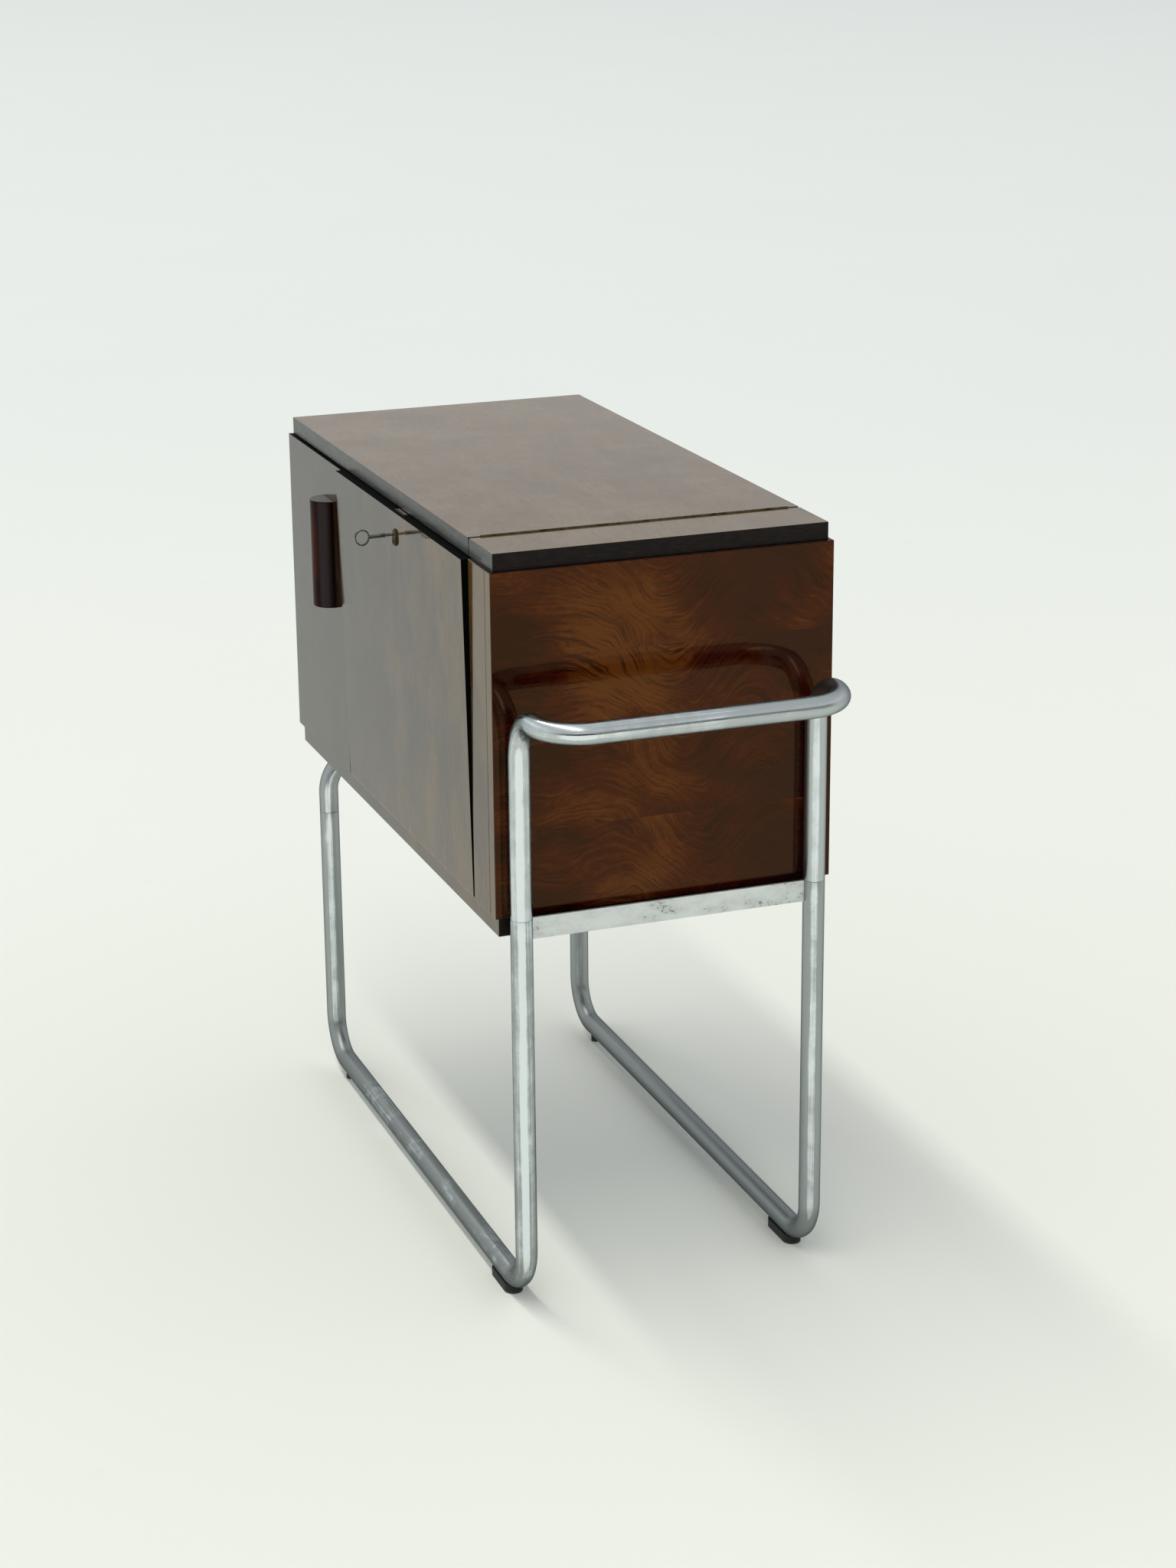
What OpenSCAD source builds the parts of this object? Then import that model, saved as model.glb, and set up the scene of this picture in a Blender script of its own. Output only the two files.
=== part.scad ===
// Bar cabinet: a veneered box on a bent steel-tube frame with a serving rail at its right end.
// Millimetres, +Z up. X runs to the right, Y to the back, and the frame stands on Z = 0.
// The origin is the middle of the whole object's footprint, on the floor.
// The shapes are laid out from the carcass's front left corner and moved to the origin at the end.

/* [Carcass] */
// Width of the carcass, over both end panels
carcass_w = 800; // [700:5:1100]
// Depth of the carcass, front face to back face
carcass_d = 400; // [330:5:520]
// Height of the end panels
carcass_h = 390; // [320:5:520]
// Height of the end panels' lower edge above the floor
carcass_z = 470; // [350:5:700]
// Thickness of the end panels
end_t = 18; // [14:1:24]
// Thickness of the partitions
partition_t = 16; // [12:1:20]
// Thickness of the back panel
back_t = 10; // [6:1:14]
// Thickness of the base board
base_t = 22; // [18:1:30]
// Thickness of the lid
lid_t = 20; // [16:1:26]
// How far the lid and the base board stand back from the faces
inset = 5; // [4:0.5:8]

/* [Front] */
// Thickness of the flap, the side door and the stile
front_t = 18; // [16:1:22]
// Width of the side door
door_w = 236; // [190:1:280]
// Gap between the side door and the flap
flap_gap_left = 2; // [1:0.5:4]
// Gap between the flap and the stile
flap_gap_right = 3.5; // [1:0.5:5]
// Width of the stile, from the flap's gap to the right end face
stile_w = 73; // [60:1:110]
// Gap under the lid, over the flap and the side door
top_gap = 1.5; // [1:0.25:3]
// Angle at which the flap stands ajar at rest
flap_ajar = 1; // [0:0.25:5]
// Clearance between the closed flap or door and what stops it
stop_gap = 0.2; // [0.1:0.05:0.5]

/* [Lid] */
// Width of the lid's fixed strip, from the hinge axis to its right edge
lid_strip_w = 79; // [70:1:90]
// How far the lid may open, in degrees
lid_open = 100; // [90:1:105]
// Distance of the lid hinge's ends from the lid's front and back edges
lid_hinge_inset = 14; // [5:1:40]

/* [Hinges] */
// Thickness of a hinge leaf
leaf_t = 0.9; // [0.8:0.1:1.2]
// Gap between two folded hinge leaves
leaf_gap = 0.2; // [0.1:0.05:0.4]
// Width of a hinge leaf, from its pin's axis
leaf_w = 13; // [9:0.5:14]
// Radius of the flap hinge's knuckle
flap_knuckle_r = 1.8; // [1.7:0.1:2]
// Radius of the lid hinge's and the door hinges' knuckles
lid_knuckle_r = 2.2; // [1.8:0.1:2.5]
// Diameter of a hinge pin
hinge_pin_d = 1.6; // [1.4:0.1:1.8]
// Length of one knuckle of the long hinges
knuckle_l = 25; // [15:1:40]
// Length of a side door hinge
door_hinge_l = 60; // [40:5:80]
// Distance of the side door hinges from the door's ends
door_hinge_inset = 45; // [30:5:90]

/* [Stays] */
// Distance of the flap stay's pivot and stud from the flap hinge's axis
flap_stay_a = 148; // [120:1:160]
// Angle between the flap stay's stud and the vertical, at the hinge axis
flap_stud_angle = 28; // [24:1:34]
// Distance of the lid stay's pivot and stud from the lid hinge's axis
lid_stay_a = 122; // [100:1:135]
// Angle between the lid stay's stud and the level, at the hinge axis
lid_stud_angle = 34; // [30:1:38]
// Width of a stay arm
stay_w = 11; // [9.5:0.5:11.5]
// Thickness of a stay arm
stay_t = 2; // [1.5:0.25:3]
// Gap between a stay arm and the panel beside it
stay_off = 3; // [2:0.5:5]
// Diameter of the stud that a stay arm slides on
stud_d = 5; // [4:0.5:6]
// Diameter of the pin that a stay arm turns on
stay_pin_d = 4; // [3:0.5:5]

/* [Lock] */
// Depth of the key's axis below the top edge of the flap
key_drop = 25.3; // [24.8:0.5:45]
// Width of the lock case
lock_w = 36; // [33:1:46]
// Thickness of the lock case's walls
lock_wall = 1.2; // [1:0.1:1.5]
// Thickness of the lock bolt
bolt_t = 3; // [2.5:0.25:3.5]
// Travel of the lock bolt
bolt_throw = 8; // [5:0.5:8]
// Reach of the key's bit from the key's axis
bit_r = 10.5; // [9:0.25:10.5]
// Diameter of the key's stem in the lock
key_stem_d = 3.4; // [3:0.1:3.8]
// Distance of the middle of the key's bow from the flap's face
bow_out = 40; // [32:1:50]
// Radius of the middle line of the key's bow
bow_r = 7.8; // [7:0.2:10]
// Diameter of the rod of the key's bow
bow_rod_d = 2.3; // [1.8:0.1:2.8]
// Length of the key's thick shank, from the bow to its collar
key_shank_l = 18; // [14:0.5:20]
// Height of the escutcheon
escutcheon_h = 20.5; // [18:0.5:24]
// Width of the escutcheon
escutcheon_w = 12; // [10:0.5:16]
// How far the escutcheon stands out of the flap's face
escutcheon_out = 3; // [2:0.25:4]

/* [Handle] */
// Diameter of the side door's handle
handle_d = 46; // [30:0.5:56]
// Length of the handle
handle_l = 135; // [90:5:200]
// How far the handle stands out of the door's face
handle_out = 23; // [15:0.5:40]
// Height of the handle's middle above the carcass's lower edge
handle_z = 273; // [200:1:300]
// Distance between the handle and the door's free edge
handle_inset = 38; // [0:0.5:40]
// Distance between the catch's middle and the door's free edge
catch_inset = 30; // [22:1:45]

/* [Shelf] */
// Height of the shelf's underside above the carcass's lower edge
shelf_z = 190; // [120:5:250]
// Thickness of the shelf
shelf_t = 12; // [9:1:18]
// Diameter of the shelf's pins
shelf_pin_d = 5; // [4:0.5:7]
// Distance of the shelf's rear pins from the back panel
shelf_pin_inset = 50; // [30:5:80]

/* [Tube frame] */
// Outer diameter of the frame's tube
tube_d = 25; // [22:0.5:28]
// Wall of the frame's tube
tube_wall = 2; // [1.5:0.25:3]
// Radius of the tube's bends, to its axis
bend_r = 50; // [40:1:60]
// Gap between the uprights and the right end panel
upright_gap = 1; // [0.5:0.25:3]
// Distance of the frame's loops from the carcass's front and back, to the tube's axis
loop_inset = 25; // [20:1:60]
// Distance of the left legs from the left end face, to the tube's axis
leg_inset = 40; // [30:5:120]
// Height of the rail's axis above the carcass's lower edge
rail_h = 238; // [150:1:300]
// Straight length between the rail's two bends at each corner
rail_extra = 0; // [0:5:60]
// Height of the seam in the uprights above the carcass's lower edge
seam_h = 3; // [3:1:40]
// Depth of the seam in the left legs below the base board
leg_seam = 90; // [75:5:200]
// Length of the spigots inside the seams
spigot_l = 60; // [40:5:90]
// Height and depth of the steel angle that carries the base board
angle_h = 25; // [20:1:30]
// Thickness of the steel angle
angle_t = 3.5; // [3:0.5:5]
// How far the steel angle reaches under the base board
angle_lap = 35; // [25:1:60]

/* [Feet] */
// Height of the tube above the floor
foot_h = 8.5; // [6:0.5:15]
// Length of the saddle pads
pad_l = 64; // [40:1:90]
// Width of the saddle pads
pad_w = 22; // [20:0.5:28]
// How far the saddle pads rise beside the tube
pad_lip = 2; // [1:0.5:8]
// Distance of the pads' right ends past the start of the bend
pad_past = 12; // [0:1:15]
// Diameter of the button glides
glide_d = 12; // [10:0.5:20]

/* [Hidden] */
$fn = 64;
eps = 0.5;
run_clear = 0.05;
screw_clear = 0.1;

// Colours of the finishes
walnut = [0.33, 0.17, 0.10];
lining = [0.72, 0.58, 0.40];
steel = [0.72, 0.73, 0.74];
dull_steel = [0.55, 0.55, 0.53];
old_brass = [0.55, 0.42, 0.22];
black = [0.05, 0.05, 0.05];

// Levels
panel_top = carcass_z + carcass_h;
lid_top = panel_top + lid_t;
base_bottom = carcass_z - base_t;

// The front's pieces
fold_t = 2 * leaf_t + leaf_gap;
front_back = front_t - stop_gap;
flap_x0 = door_w + flap_gap_left;
stile_x0 = carcass_w - stile_w;
flap_x1 = stile_x0 - flap_gap_right;
flap_mid_x = (flap_x0 + flap_x1) / 2;
flap_z0 = carcass_z + fold_t;
front_z1 = panel_top - top_gap;

// Where the partitions stand, each lapped by what closes against it
left_part_x0 = door_w + flap_gap_left / 2 - partition_t / 2;
part_lap = partition_t / 2;
right_part_x0 = stile_x0 - part_lap;
inner_x0 = left_part_x0 + partition_t;
back_y = carcass_d - back_t;

// Hinge axes
knuckle_gap = 0.3;
flap_axis_y = inset - flap_knuckle_r - knuckle_gap;
flap_axis_z = carcass_z + fold_t / 2;
lid_axis_x = carcass_w - inset - lid_strip_w;
lid_axis_z = lid_top - 0.4;
door_axis_x = -lid_knuckle_r - knuckle_gap;
door_axis_y = front_back + fold_t / 2;
flap_hinge_l = flap_x1 - flap_x0 - 4;
lid_hinge_l = carcass_d - 2 * inset - 2 * lid_hinge_inset;

// Stays: the pivot and the stud lie equally far from the hinge axis, so that the arm turns
// by exactly half of the angle through which the flap or the lid opens
flap_open = 90;
pivot_off = 6.2;
flap_pin_angle = asin((front_back + pivot_off - flap_axis_y) / flap_stay_a);
lid_pin_angle = asin((lid_axis_z - panel_top + pivot_off) / lid_stay_a);
function chord(a, angle) = 2 * a * sin(angle / 2);
flap_chord_0 = chord(flap_stay_a, flap_stud_angle - flap_pin_angle);
flap_chord_1 = chord(flap_stay_a, flap_stud_angle - flap_pin_angle + flap_open);
lid_chord_0 = chord(lid_stay_a, lid_stud_angle - lid_pin_angle);
lid_chord_1 = chord(lid_stay_a, lid_stud_angle - lid_pin_angle + lid_open);
slot_spare = 1;
stay_plate_t = 2;
stay_plate_gap = 0.5;
flap_pin_z = flap_axis_z + flap_stay_a * cos(flap_pin_angle);
flap_stud_y = flap_axis_y + flap_stay_a * sin(flap_stud_angle);
flap_stud_z = flap_axis_z + flap_stay_a * cos(flap_stud_angle);
lid_pin_x = lid_axis_x - lid_stay_a * cos(lid_pin_angle);
lid_pin_z = panel_top - pivot_off;
lid_stud_x = lid_axis_x - lid_stay_a * cos(lid_stud_angle);
lid_stud_z = lid_axis_z - lid_stay_a * sin(lid_stud_angle);

// Lock
key_z = front_z1 - key_drop;
case_y0 = front_back - 12.8;
case_z0 = key_z - bit_r - 6.5;
bolt_w = lock_w - 2 * lock_wall - 3.6;
bolt_y0 = case_y0 + lock_wall + 1.8;
window_x = bit_r + 0.7;
window_z0 = -bit_r - 1.5;
window_z1 = bit_r + 1 - bolt_throw;
keeper_t = 1.2;
keeper_y0 = inset + 1;
keeper_y1 = bolt_y0 + bolt_t + 4;
bow_straight = 1.8;
escutcheon_drop = 3.7;

// Tube frame
tube_r = tube_d / 2;
bore_r = tube_r - tube_wall;
upright_x = carcass_w + upright_gap + tube_r;
leg_x = leg_inset;
loop_y = [loop_inset, carcass_d - loop_inset];
runner_z = foot_h + tube_r;
cross_z = base_bottom - tube_r - 0.1;
rail_z = carcass_z + rail_h;
rail_x = upright_x + 2 * bend_r + rail_extra;
seam_z = carcass_z + seam_h;
leg_seam_z = base_bottom - leg_seam;
angle_x1 = upright_x + 1.5;
angle_x0 = carcass_w - inset - angle_lap;
angle_y = [loop_y[0] + tube_r, loop_y[1] - tube_r];
angle_screw_x = (angle_x0 + carcass_w - inset) / 2;
screw_d = 5;
screw_head_d = 9;
screw_head_h = 2.4;
screw_bite = base_t - 7;
pad_x1 = upright_x - bend_r + pad_past;
pad_h = foot_h + pad_lip;

// Side door's handle and its two screws
handle_r = handle_d / 2;
handle_x = door_w - handle_inset - handle_r;
handle_y = handle_r - handle_out;
handle_screw_z = [-handle_l / 3, handle_l / 3];

// Catch in the door's lower edge
catch_d = 8;
catch_x = door_w - catch_inset;
catch_y = front_back / 2 + 1;
ball_r = 3;

// The box of the whole object, which places the origin
key_front_y = flap_axis_y + (-bow_out - flap_axis_y) * cos(flap_ajar)
    - (key_z - flap_axis_z) * sin(flap_ajar) - bow_r - bow_rod_d / 2
    - bow_straight / 2 * sin(flap_ajar);
box_x0 = door_axis_x - lid_knuckle_r;
box_x1 = rail_x + tube_r;
box_y0 = min(key_front_y, -handle_out);
box_y1 = carcass_d;
origin = [(box_x0 + box_x1) / 2, (box_y0 + box_y1) / 2, 0];

// Moves a shape from the carcass's corner to the object's origin
module at_origin() { translate(-origin) children(); }

// Stands the flap and what it carries ajar, turned about the flap hinge's axis
module on_flap() {
    translate([0, flap_axis_y, flap_axis_z])
        rotate([flap_ajar, 0, 0])
            translate([0, -flap_axis_y, -flap_axis_z])
                children();
}

// A box given by its lowest and highest corners
module box(low, high) { translate(low) cube(high - low); }

// A cylinder along X, Y or Z from a starting point
module rod_x(p, l, r) { translate(p) rotate([0, 90, 0]) cylinder(h = l, r = r); }
module rod_y(p, l, r) { translate(p) rotate([-90, 0, 0]) cylinder(h = l, r = r); }
module rod_z(p, l, r) { translate(p) cylinder(h = l, r = r); }

// Countersunk screw along +Z: its head's face lies at z = 0
module screw(l, d = screw_d, extra = 0) {
    cylinder(h = screw_head_h, d1 = screw_head_d + 2 * extra, d2 = d + 2 * extra);
    cylinder(h = l, d = d + 2 * extra);
}

// One leaf of a hinge whose pin lies along X from x = 0: a plate on the z side given by side
// (-1 or 1), and every second knuckle, starting with the one numbered first (0 or 1)
module hinge_half(l, n, r, first, side) {
    pitch = l / n;
    reach = r + knuckle_gap;
    z0 = side > 0 ? leaf_gap / 2 : -leaf_gap / 2 - leaf_t;
    difference() {
        union() {
            box([0, reach, z0], [l, leaf_w, z0 + leaf_t]);
            for (i = [first : 2 : n - 1]) {
                box([i * pitch + 0.1, r - 0.65, z0], [(i + 1) * pitch - 0.1, reach, z0 + leaf_t]);
                rod_x([i * pitch + 0.1, 0, 0], pitch - 0.2, r);
            }
        }
        rod_x([-eps, 0, 0], l + 2 * eps, hinge_pin_d / 2 + run_clear);
    }
}

// A hinge's pin, from end to end of its knuckles
module hinge_pin(l) { rod_x([0.1, 0, 0], l - 0.2, hinge_pin_d / 2); }

// Places of the three kinds of hinge
module at_flap_hinge() {
    translate([flap_x0 + 2, flap_axis_y, flap_axis_z]) children();
}
module at_lid_hinge() {
    translate([lid_axis_x, inset + lid_hinge_inset, lid_axis_z]) rotate([-90, 0, 90]) children();
}
module at_door_hinges() {
    for (z = [carcass_z + door_hinge_inset + door_hinge_l, panel_top - door_hinge_inset])
        translate([door_axis_x, door_axis_y, z]) rotate([90, 90, 0]) children();
}
flap_knuckles = 2 * round(flap_hinge_l / knuckle_l / 2) + 1;
lid_knuckles = 2 * round(lid_hinge_l / knuckle_l / 2) + 1;

// Straight stretches of tube along each axis, and a quarter bend in the XY plane
module tube_x(x0, x1, y, z) {
    difference() {
        rod_x([x0, y, z], x1 - x0, tube_r);
        rod_x([x0 - eps, y, z], x1 - x0 + 2 * eps, bore_r);
    }
}
module tube_y(x, y0, y1, z) {
    difference() {
        rod_y([x, y0, z], y1 - y0, tube_r);
        rod_y([x, y0 - eps, z], y1 - y0 + 2 * eps, bore_r);
    }
}
module tube_z(x, y, z0, z1) {
    difference() {
        rod_z([x, y, z0], z1 - z0, tube_r);
        rod_z([x, y, z0 - eps], z1 - z0 + 2 * eps, bore_r);
    }
}
module bend() {
    rotate_extrude(angle = 90)
        translate([bend_r, 0])
            difference() {
                circle(r = tube_r);
                circle(r = bore_r);
            }
}

// An upright, its runner along the floor and its left leg, as one bent tube
module runner_loop(y) {
    tube_z(upright_x, y, runner_z + bend_r, seam_z);
    translate([upright_x - bend_r, y, runner_z + bend_r]) rotate([-90, 0, 0]) bend();
    tube_x(leg_x + bend_r, upright_x - bend_r, y, runner_z);
    translate([leg_x + bend_r, y, runner_z + bend_r]) rotate([-90, 0, 0]) rotate([0, 0, 90]) bend();
    tube_z(leg_x, y, runner_z + bend_r, leg_seam_z);
}

// A slotted arm that lies along +Y from its pin hole, in the YZ plane, from x = 0 to its thickness
module slotted_arm(chord_0, chord_1) {
    slot_r = stud_d / 2 + screw_clear;
    tail = chord_1 + stay_w / 2 + slot_spare;
    difference() {
        union() {
            rod_x([0, 0, 0], stay_t, stay_w / 2);
            rod_x([0, tail, 0], stay_t, stay_w / 2);
            box([0, 0, -stay_w / 2], [stay_t, tail, stay_w / 2]);
        }
        rod_x([-eps, 0, 0], stay_t + 2 * eps, stay_pin_d / 2 + run_clear);
        rod_x([-eps, chord_0 - slot_spare, 0], stay_t + 2 * eps, slot_r);
        rod_x([-eps, chord_1 + slot_spare, 0], stay_t + 2 * eps, slot_r);
        box([-eps, chord_0 - slot_spare, -slot_r], [stay_t + eps, chord_1 + slot_spare, slot_r]);
    }
}

// A stud along +X with its head past the arm, standing on the panel's face at x = 0
module stay_stud() {
    head_x = stay_off + stay_t + 0.3;
    rod_x([0, 0, 0], head_x, stud_d / 2);
    rod_x([head_x, 0, 0], 1.2, stud_d / 2 + 2);
    rod_x([0, 0, 0], stay_off - 1, stud_d / 2 + 2);
}

// A bracket on a face at y = 0 with its pin along -X: the plate's far face lies at x = plate_t
module stay_bracket() {
    foot_w = 16;
    difference() {
        union() {
            box([0, 0, -8], [stay_plate_t, pivot_off, 8]);
            rod_x([0, pivot_off, 0], stay_plate_t, 6);
            box([0, 0, -8], [foot_w, 1.6, 8]);
        }
        translate([foot_w / 2 + 1, 1.6, 0]) rotate([90, 0, 0]) cylinder(h = 4, d = 3.6, center = true);
    }
    rod_x([-stay_plate_gap - stay_t - 0.6, pivot_off, 0],
        stay_plate_gap + stay_t + 0.6 + stay_plate_t, stay_pin_d / 2);
}

// The keyhole's shape, cut along Y: a round hole with a slot below it
module keyhole(y0, y1, r, slot, drop) {
    rod_y([0, y0, 0], y1 - y0, r);
    box([-slot, y0, -drop], [slot, y1, 0]);
}

// Carcass

module left_end_panel() {
    color(walnut) at_origin() difference() {
        box([0, front_back + fold_t, carcass_z], [end_t, carcass_d, panel_top]);
        shelf_pin_bores();
    }
}

module right_end_panel() {
    color(walnut) at_origin()
        box([carcass_w - end_t, 0, carcass_z], [carcass_w, carcass_d, panel_top]);
}

module back_panel() {
    color(lining) at_origin()
        box([end_t, back_y, carcass_z], [carcass_w - end_t, carcass_d, panel_top]);
}

module base_board() {
    color(walnut) at_origin() difference() {
        box([inset, inset, base_bottom], [carcass_w - inset, carcass_d - inset, carcass_z]);
        box([angle_x0 - 0.3, angle_y[0] - 0.3, base_bottom - eps],
            [carcass_w, angle_y[1] + 0.3, base_bottom + angle_t]);
        frame_screw_shapes(screw_clear / 2);
        box([catch_x - 10, inset - eps, carcass_z - 1.2], [catch_x + 10, catch_y + 6, carcass_z + eps]);
    }
}

module left_partition() {
    color(lining) at_origin() difference() {
        box([left_part_x0, front_t, carcass_z], [left_part_x0 + partition_t, back_y, panel_top]);
        shelf_pin_bores();
    }
}

module right_partition() {
    color(lining) at_origin()
        box([right_part_x0, front_t, carcass_z], [right_part_x0 + partition_t, back_y, panel_top]);
}

module front_stile() {
    color(walnut) at_origin()
        box([stile_x0, 0, carcass_z], [carcass_w - end_t, front_t, panel_top]);
}

// Shelf of the side compartment on its four pins
shelf_pin_y = [shelf_pin_inset + 20, back_y - shelf_pin_inset];
module shelf_pin_rods(extra) {
    for (y = shelf_pin_y) {
        rod_x([end_t - 8 - extra, y, carcass_z + shelf_z - shelf_pin_d / 2], 16 + extra,
            shelf_pin_d / 2 + extra);
        rod_x([left_part_x0 - 8, y, carcass_z + shelf_z - shelf_pin_d / 2], 16 + extra,
            shelf_pin_d / 2 + extra);
    }
}
module shelf_pin_bores() { shelf_pin_rods(run_clear); }
module shelf_pins() { color(old_brass) at_origin() shelf_pin_rods(0); }
module shelf() {
    color(lining) at_origin()
        box([end_t + 0.5, front_t + 8, carcass_z + shelf_z],
            [left_part_x0 - 0.5, back_y - 1, carcass_z + shelf_z + shelf_t]);
}

// Lid: the fixed strip, the leaf and the long hinge between their edges
module lid_hinge_groove() {
    rod_y([lid_axis_x, inset - eps, lid_axis_z], carcass_d, lid_knuckle_r + knuckle_gap);
}
module lid_fixed_strip() {
    color(walnut) at_origin() difference() {
        box([lid_axis_x + fold_t / 2, inset, panel_top], [carcass_w - inset, carcass_d - inset, lid_top]);
        lid_hinge_groove();
    }
}
module lid_leaf() {
    color(walnut) at_origin() difference() {
        box([inset, inset, panel_top], [lid_axis_x - fold_t / 2, carcass_d - inset, lid_top]);
        lid_hinge_groove();
        box([flap_mid_x - lock_w / 2, keeper_y0, panel_top - eps],
            [flap_mid_x + lock_w / 2, keeper_y1, panel_top + keeper_t]);
        box([flap_mid_x - bolt_w / 2 - 0.6, bolt_y0 - 0.8, panel_top],
            [flap_mid_x + bolt_w / 2 + 0.6, bolt_y0 + bolt_t + 0.8, panel_top + bolt_throw + 1]);
    }
}
module lid_hinge_fixed() {
    color(old_brass) at_origin() at_lid_hinge()
        hinge_half(lid_hinge_l, lid_knuckles, lid_knuckle_r, 0, -1);
}
module lid_hinge_moving() {
    color(old_brass) at_origin() at_lid_hinge()
        hinge_half(lid_hinge_l, lid_knuckles, lid_knuckle_r, 1, 1);
}
module lid_hinge_pin() { color(steel) at_origin() at_lid_hinge() hinge_pin(lid_hinge_l); }

// The lid's stay, in a plane just in front of the back panel
module at_lid_stay(x, z, y) { translate([x, y, z]) rotate([0, 0, -90]) children(); }
module lid_stay_stud() {
    color(steel) at_origin() at_lid_stay(lid_stud_x, lid_stud_z, back_y) stay_stud();
}
module lid_stay() {
    slope = atan2(lid_pin_z - lid_stud_z, lid_stud_x - lid_pin_x);
    color(steel) at_origin()
        at_lid_stay(lid_pin_x, lid_pin_z, back_y - stay_off)
            rotate([-slope, 0, 0])
                slotted_arm(lid_chord_0, lid_chord_1);
}
module lid_stay_bracket() {
    plate_y = back_y - stay_off - stay_t - stay_plate_gap;
    color(steel) at_origin()
        at_lid_stay(lid_pin_x, panel_top, plate_y) rotate([-90, 0, 0]) stay_bracket();
}

// Flap and the long hinge under it
module flap_hinge_groove() {
    rod_x([flap_x0 - eps, flap_axis_y, flap_axis_z], flap_x1 - flap_x0 + 2 * eps,
        flap_knuckle_r + knuckle_gap);
}
module flap() {
    color(walnut) at_origin() on_flap() difference() {
        box([flap_x0, 0, flap_z0], [flap_x1, front_back, front_z1]);
        flap_hinge_groove();
        box([flap_mid_x - lock_w / 2, case_y0, case_z0],
            [flap_mid_x + lock_w / 2, front_t, front_z1 + eps]);
        translate([flap_mid_x, 0, key_z])
            keyhole(-eps, case_y0 + eps, key_stem_d / 2 + 0.8, 1.8, bit_r + 0.8);
    }
}
module flap_hinge_fixed() {
    color(old_brass) at_origin() at_flap_hinge()
        hinge_half(flap_hinge_l, flap_knuckles, flap_knuckle_r, 0, -1);
}
module flap_hinge_moving() {
    color(old_brass) at_origin() on_flap() at_flap_hinge()
        hinge_half(flap_hinge_l, flap_knuckles, flap_knuckle_r, 1, 1);
}
module flap_hinge_pin() { color(steel) at_origin() at_flap_hinge() hinge_pin(flap_hinge_l); }

// The flap's two stays, each beside a partition
arm_left_x = inner_x0 + stay_off;
arm_right_x = right_part_x0 - stay_off - stay_t;
module flap_stay_studs() {
    color(steel) at_origin() {
        translate([inner_x0, flap_stud_y, flap_stud_z]) stay_stud();
        translate([right_part_x0, flap_stud_y, flap_stud_z]) mirror([1, 0, 0]) stay_stud();
    }
}
module flap_stay_brackets() {
    plate_x = arm_left_x + stay_t + stay_plate_gap;
    color(steel) at_origin() on_flap() {
        translate([plate_x, front_back, flap_pin_z]) stay_bracket();
        translate([right_part_x0 + inner_x0 - plate_x, front_back, flap_pin_z])
            mirror([1, 0, 0]) stay_bracket();
    }
}
// The flap's pin as the flap stands ajar, from which each arm points to its stud
flap_pin_now = [
    flap_axis_y + flap_stay_a * sin(flap_pin_angle - flap_ajar),
    flap_axis_z + flap_stay_a * cos(flap_pin_angle - flap_ajar)];
flap_stay_slope = atan2(flap_stud_z - flap_pin_now[1], flap_stud_y - flap_pin_now[0]);
module flap_stay_at(x) {
    translate([x, flap_pin_now[0], flap_pin_now[1]])
        rotate([flap_stay_slope, 0, 0])
            slotted_arm(flap_chord_0, flap_chord_1);
}
module flap_stay_left() { color(steel) at_origin() flap_stay_at(arm_left_x); }
module flap_stay_right() { color(steel) at_origin() flap_stay_at(arm_right_x); }

// Lock: the case in the flap's top edge, the bolt with the window that the bit turns in,
// the key and the keeper in the lid
module lock_case() {
    color(old_brass) at_origin() on_flap() translate([flap_mid_x, 0, key_z]) {
        w = lock_w / 2;
        z0 = case_z0 - key_z;
        z1 = front_z1 - key_z;
        difference() {
            box([-w, case_y0, z0], [w, front_back, z1]);
            box([-w + lock_wall, case_y0 + lock_wall, z0 + lock_wall],
                [w - lock_wall, front_back - lock_wall, z1 - lock_wall]);
            keyhole(case_y0 - eps, case_y0 + lock_wall + eps, key_stem_d / 2 + screw_clear,
                1.5, bit_r + 0.4);
            box([-bolt_w / 2 - screw_clear, bolt_y0 - screw_clear, z1 - lock_wall - eps],
                [bolt_w / 2 + screw_clear, bolt_y0 + bolt_t + screw_clear, z1 + eps]);
        }
        difference() {
            rod_y([0, bolt_y0 + bolt_t + 0.8, 0], front_back - lock_wall - bolt_y0 - bolt_t - 0.8, 4);
            rod_y([0, bolt_y0 + bolt_t, 0], front_back - lock_wall - bolt_y0 - bolt_t - 0.6,
                key_stem_d / 2 + screw_clear);
        }
    }
}
module lock_bolt() {
    color(steel) at_origin() on_flap() translate([flap_mid_x, bolt_y0, key_z])
        difference() {
            box([-bolt_w / 2, 0, window_z0 - 3], [bolt_w / 2, bolt_t, front_z1 - key_z]);
            box([-window_x, -eps, window_z0], [window_x, bolt_t + eps, window_z1]);
        }
}
module lock_keeper() {
    color(old_brass) at_origin() difference() {
        box([flap_mid_x - lock_w / 2, keeper_y0, panel_top],
            [flap_mid_x + lock_w / 2, keeper_y1, panel_top + keeper_t]);
        box([flap_mid_x - bolt_w / 2 - 0.6, bolt_y0 - 0.8, panel_top - eps],
            [flap_mid_x + bolt_w / 2 + 0.6, bolt_y0 + bolt_t + 0.8, panel_top + keeper_t + eps]);
    }
}
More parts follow.
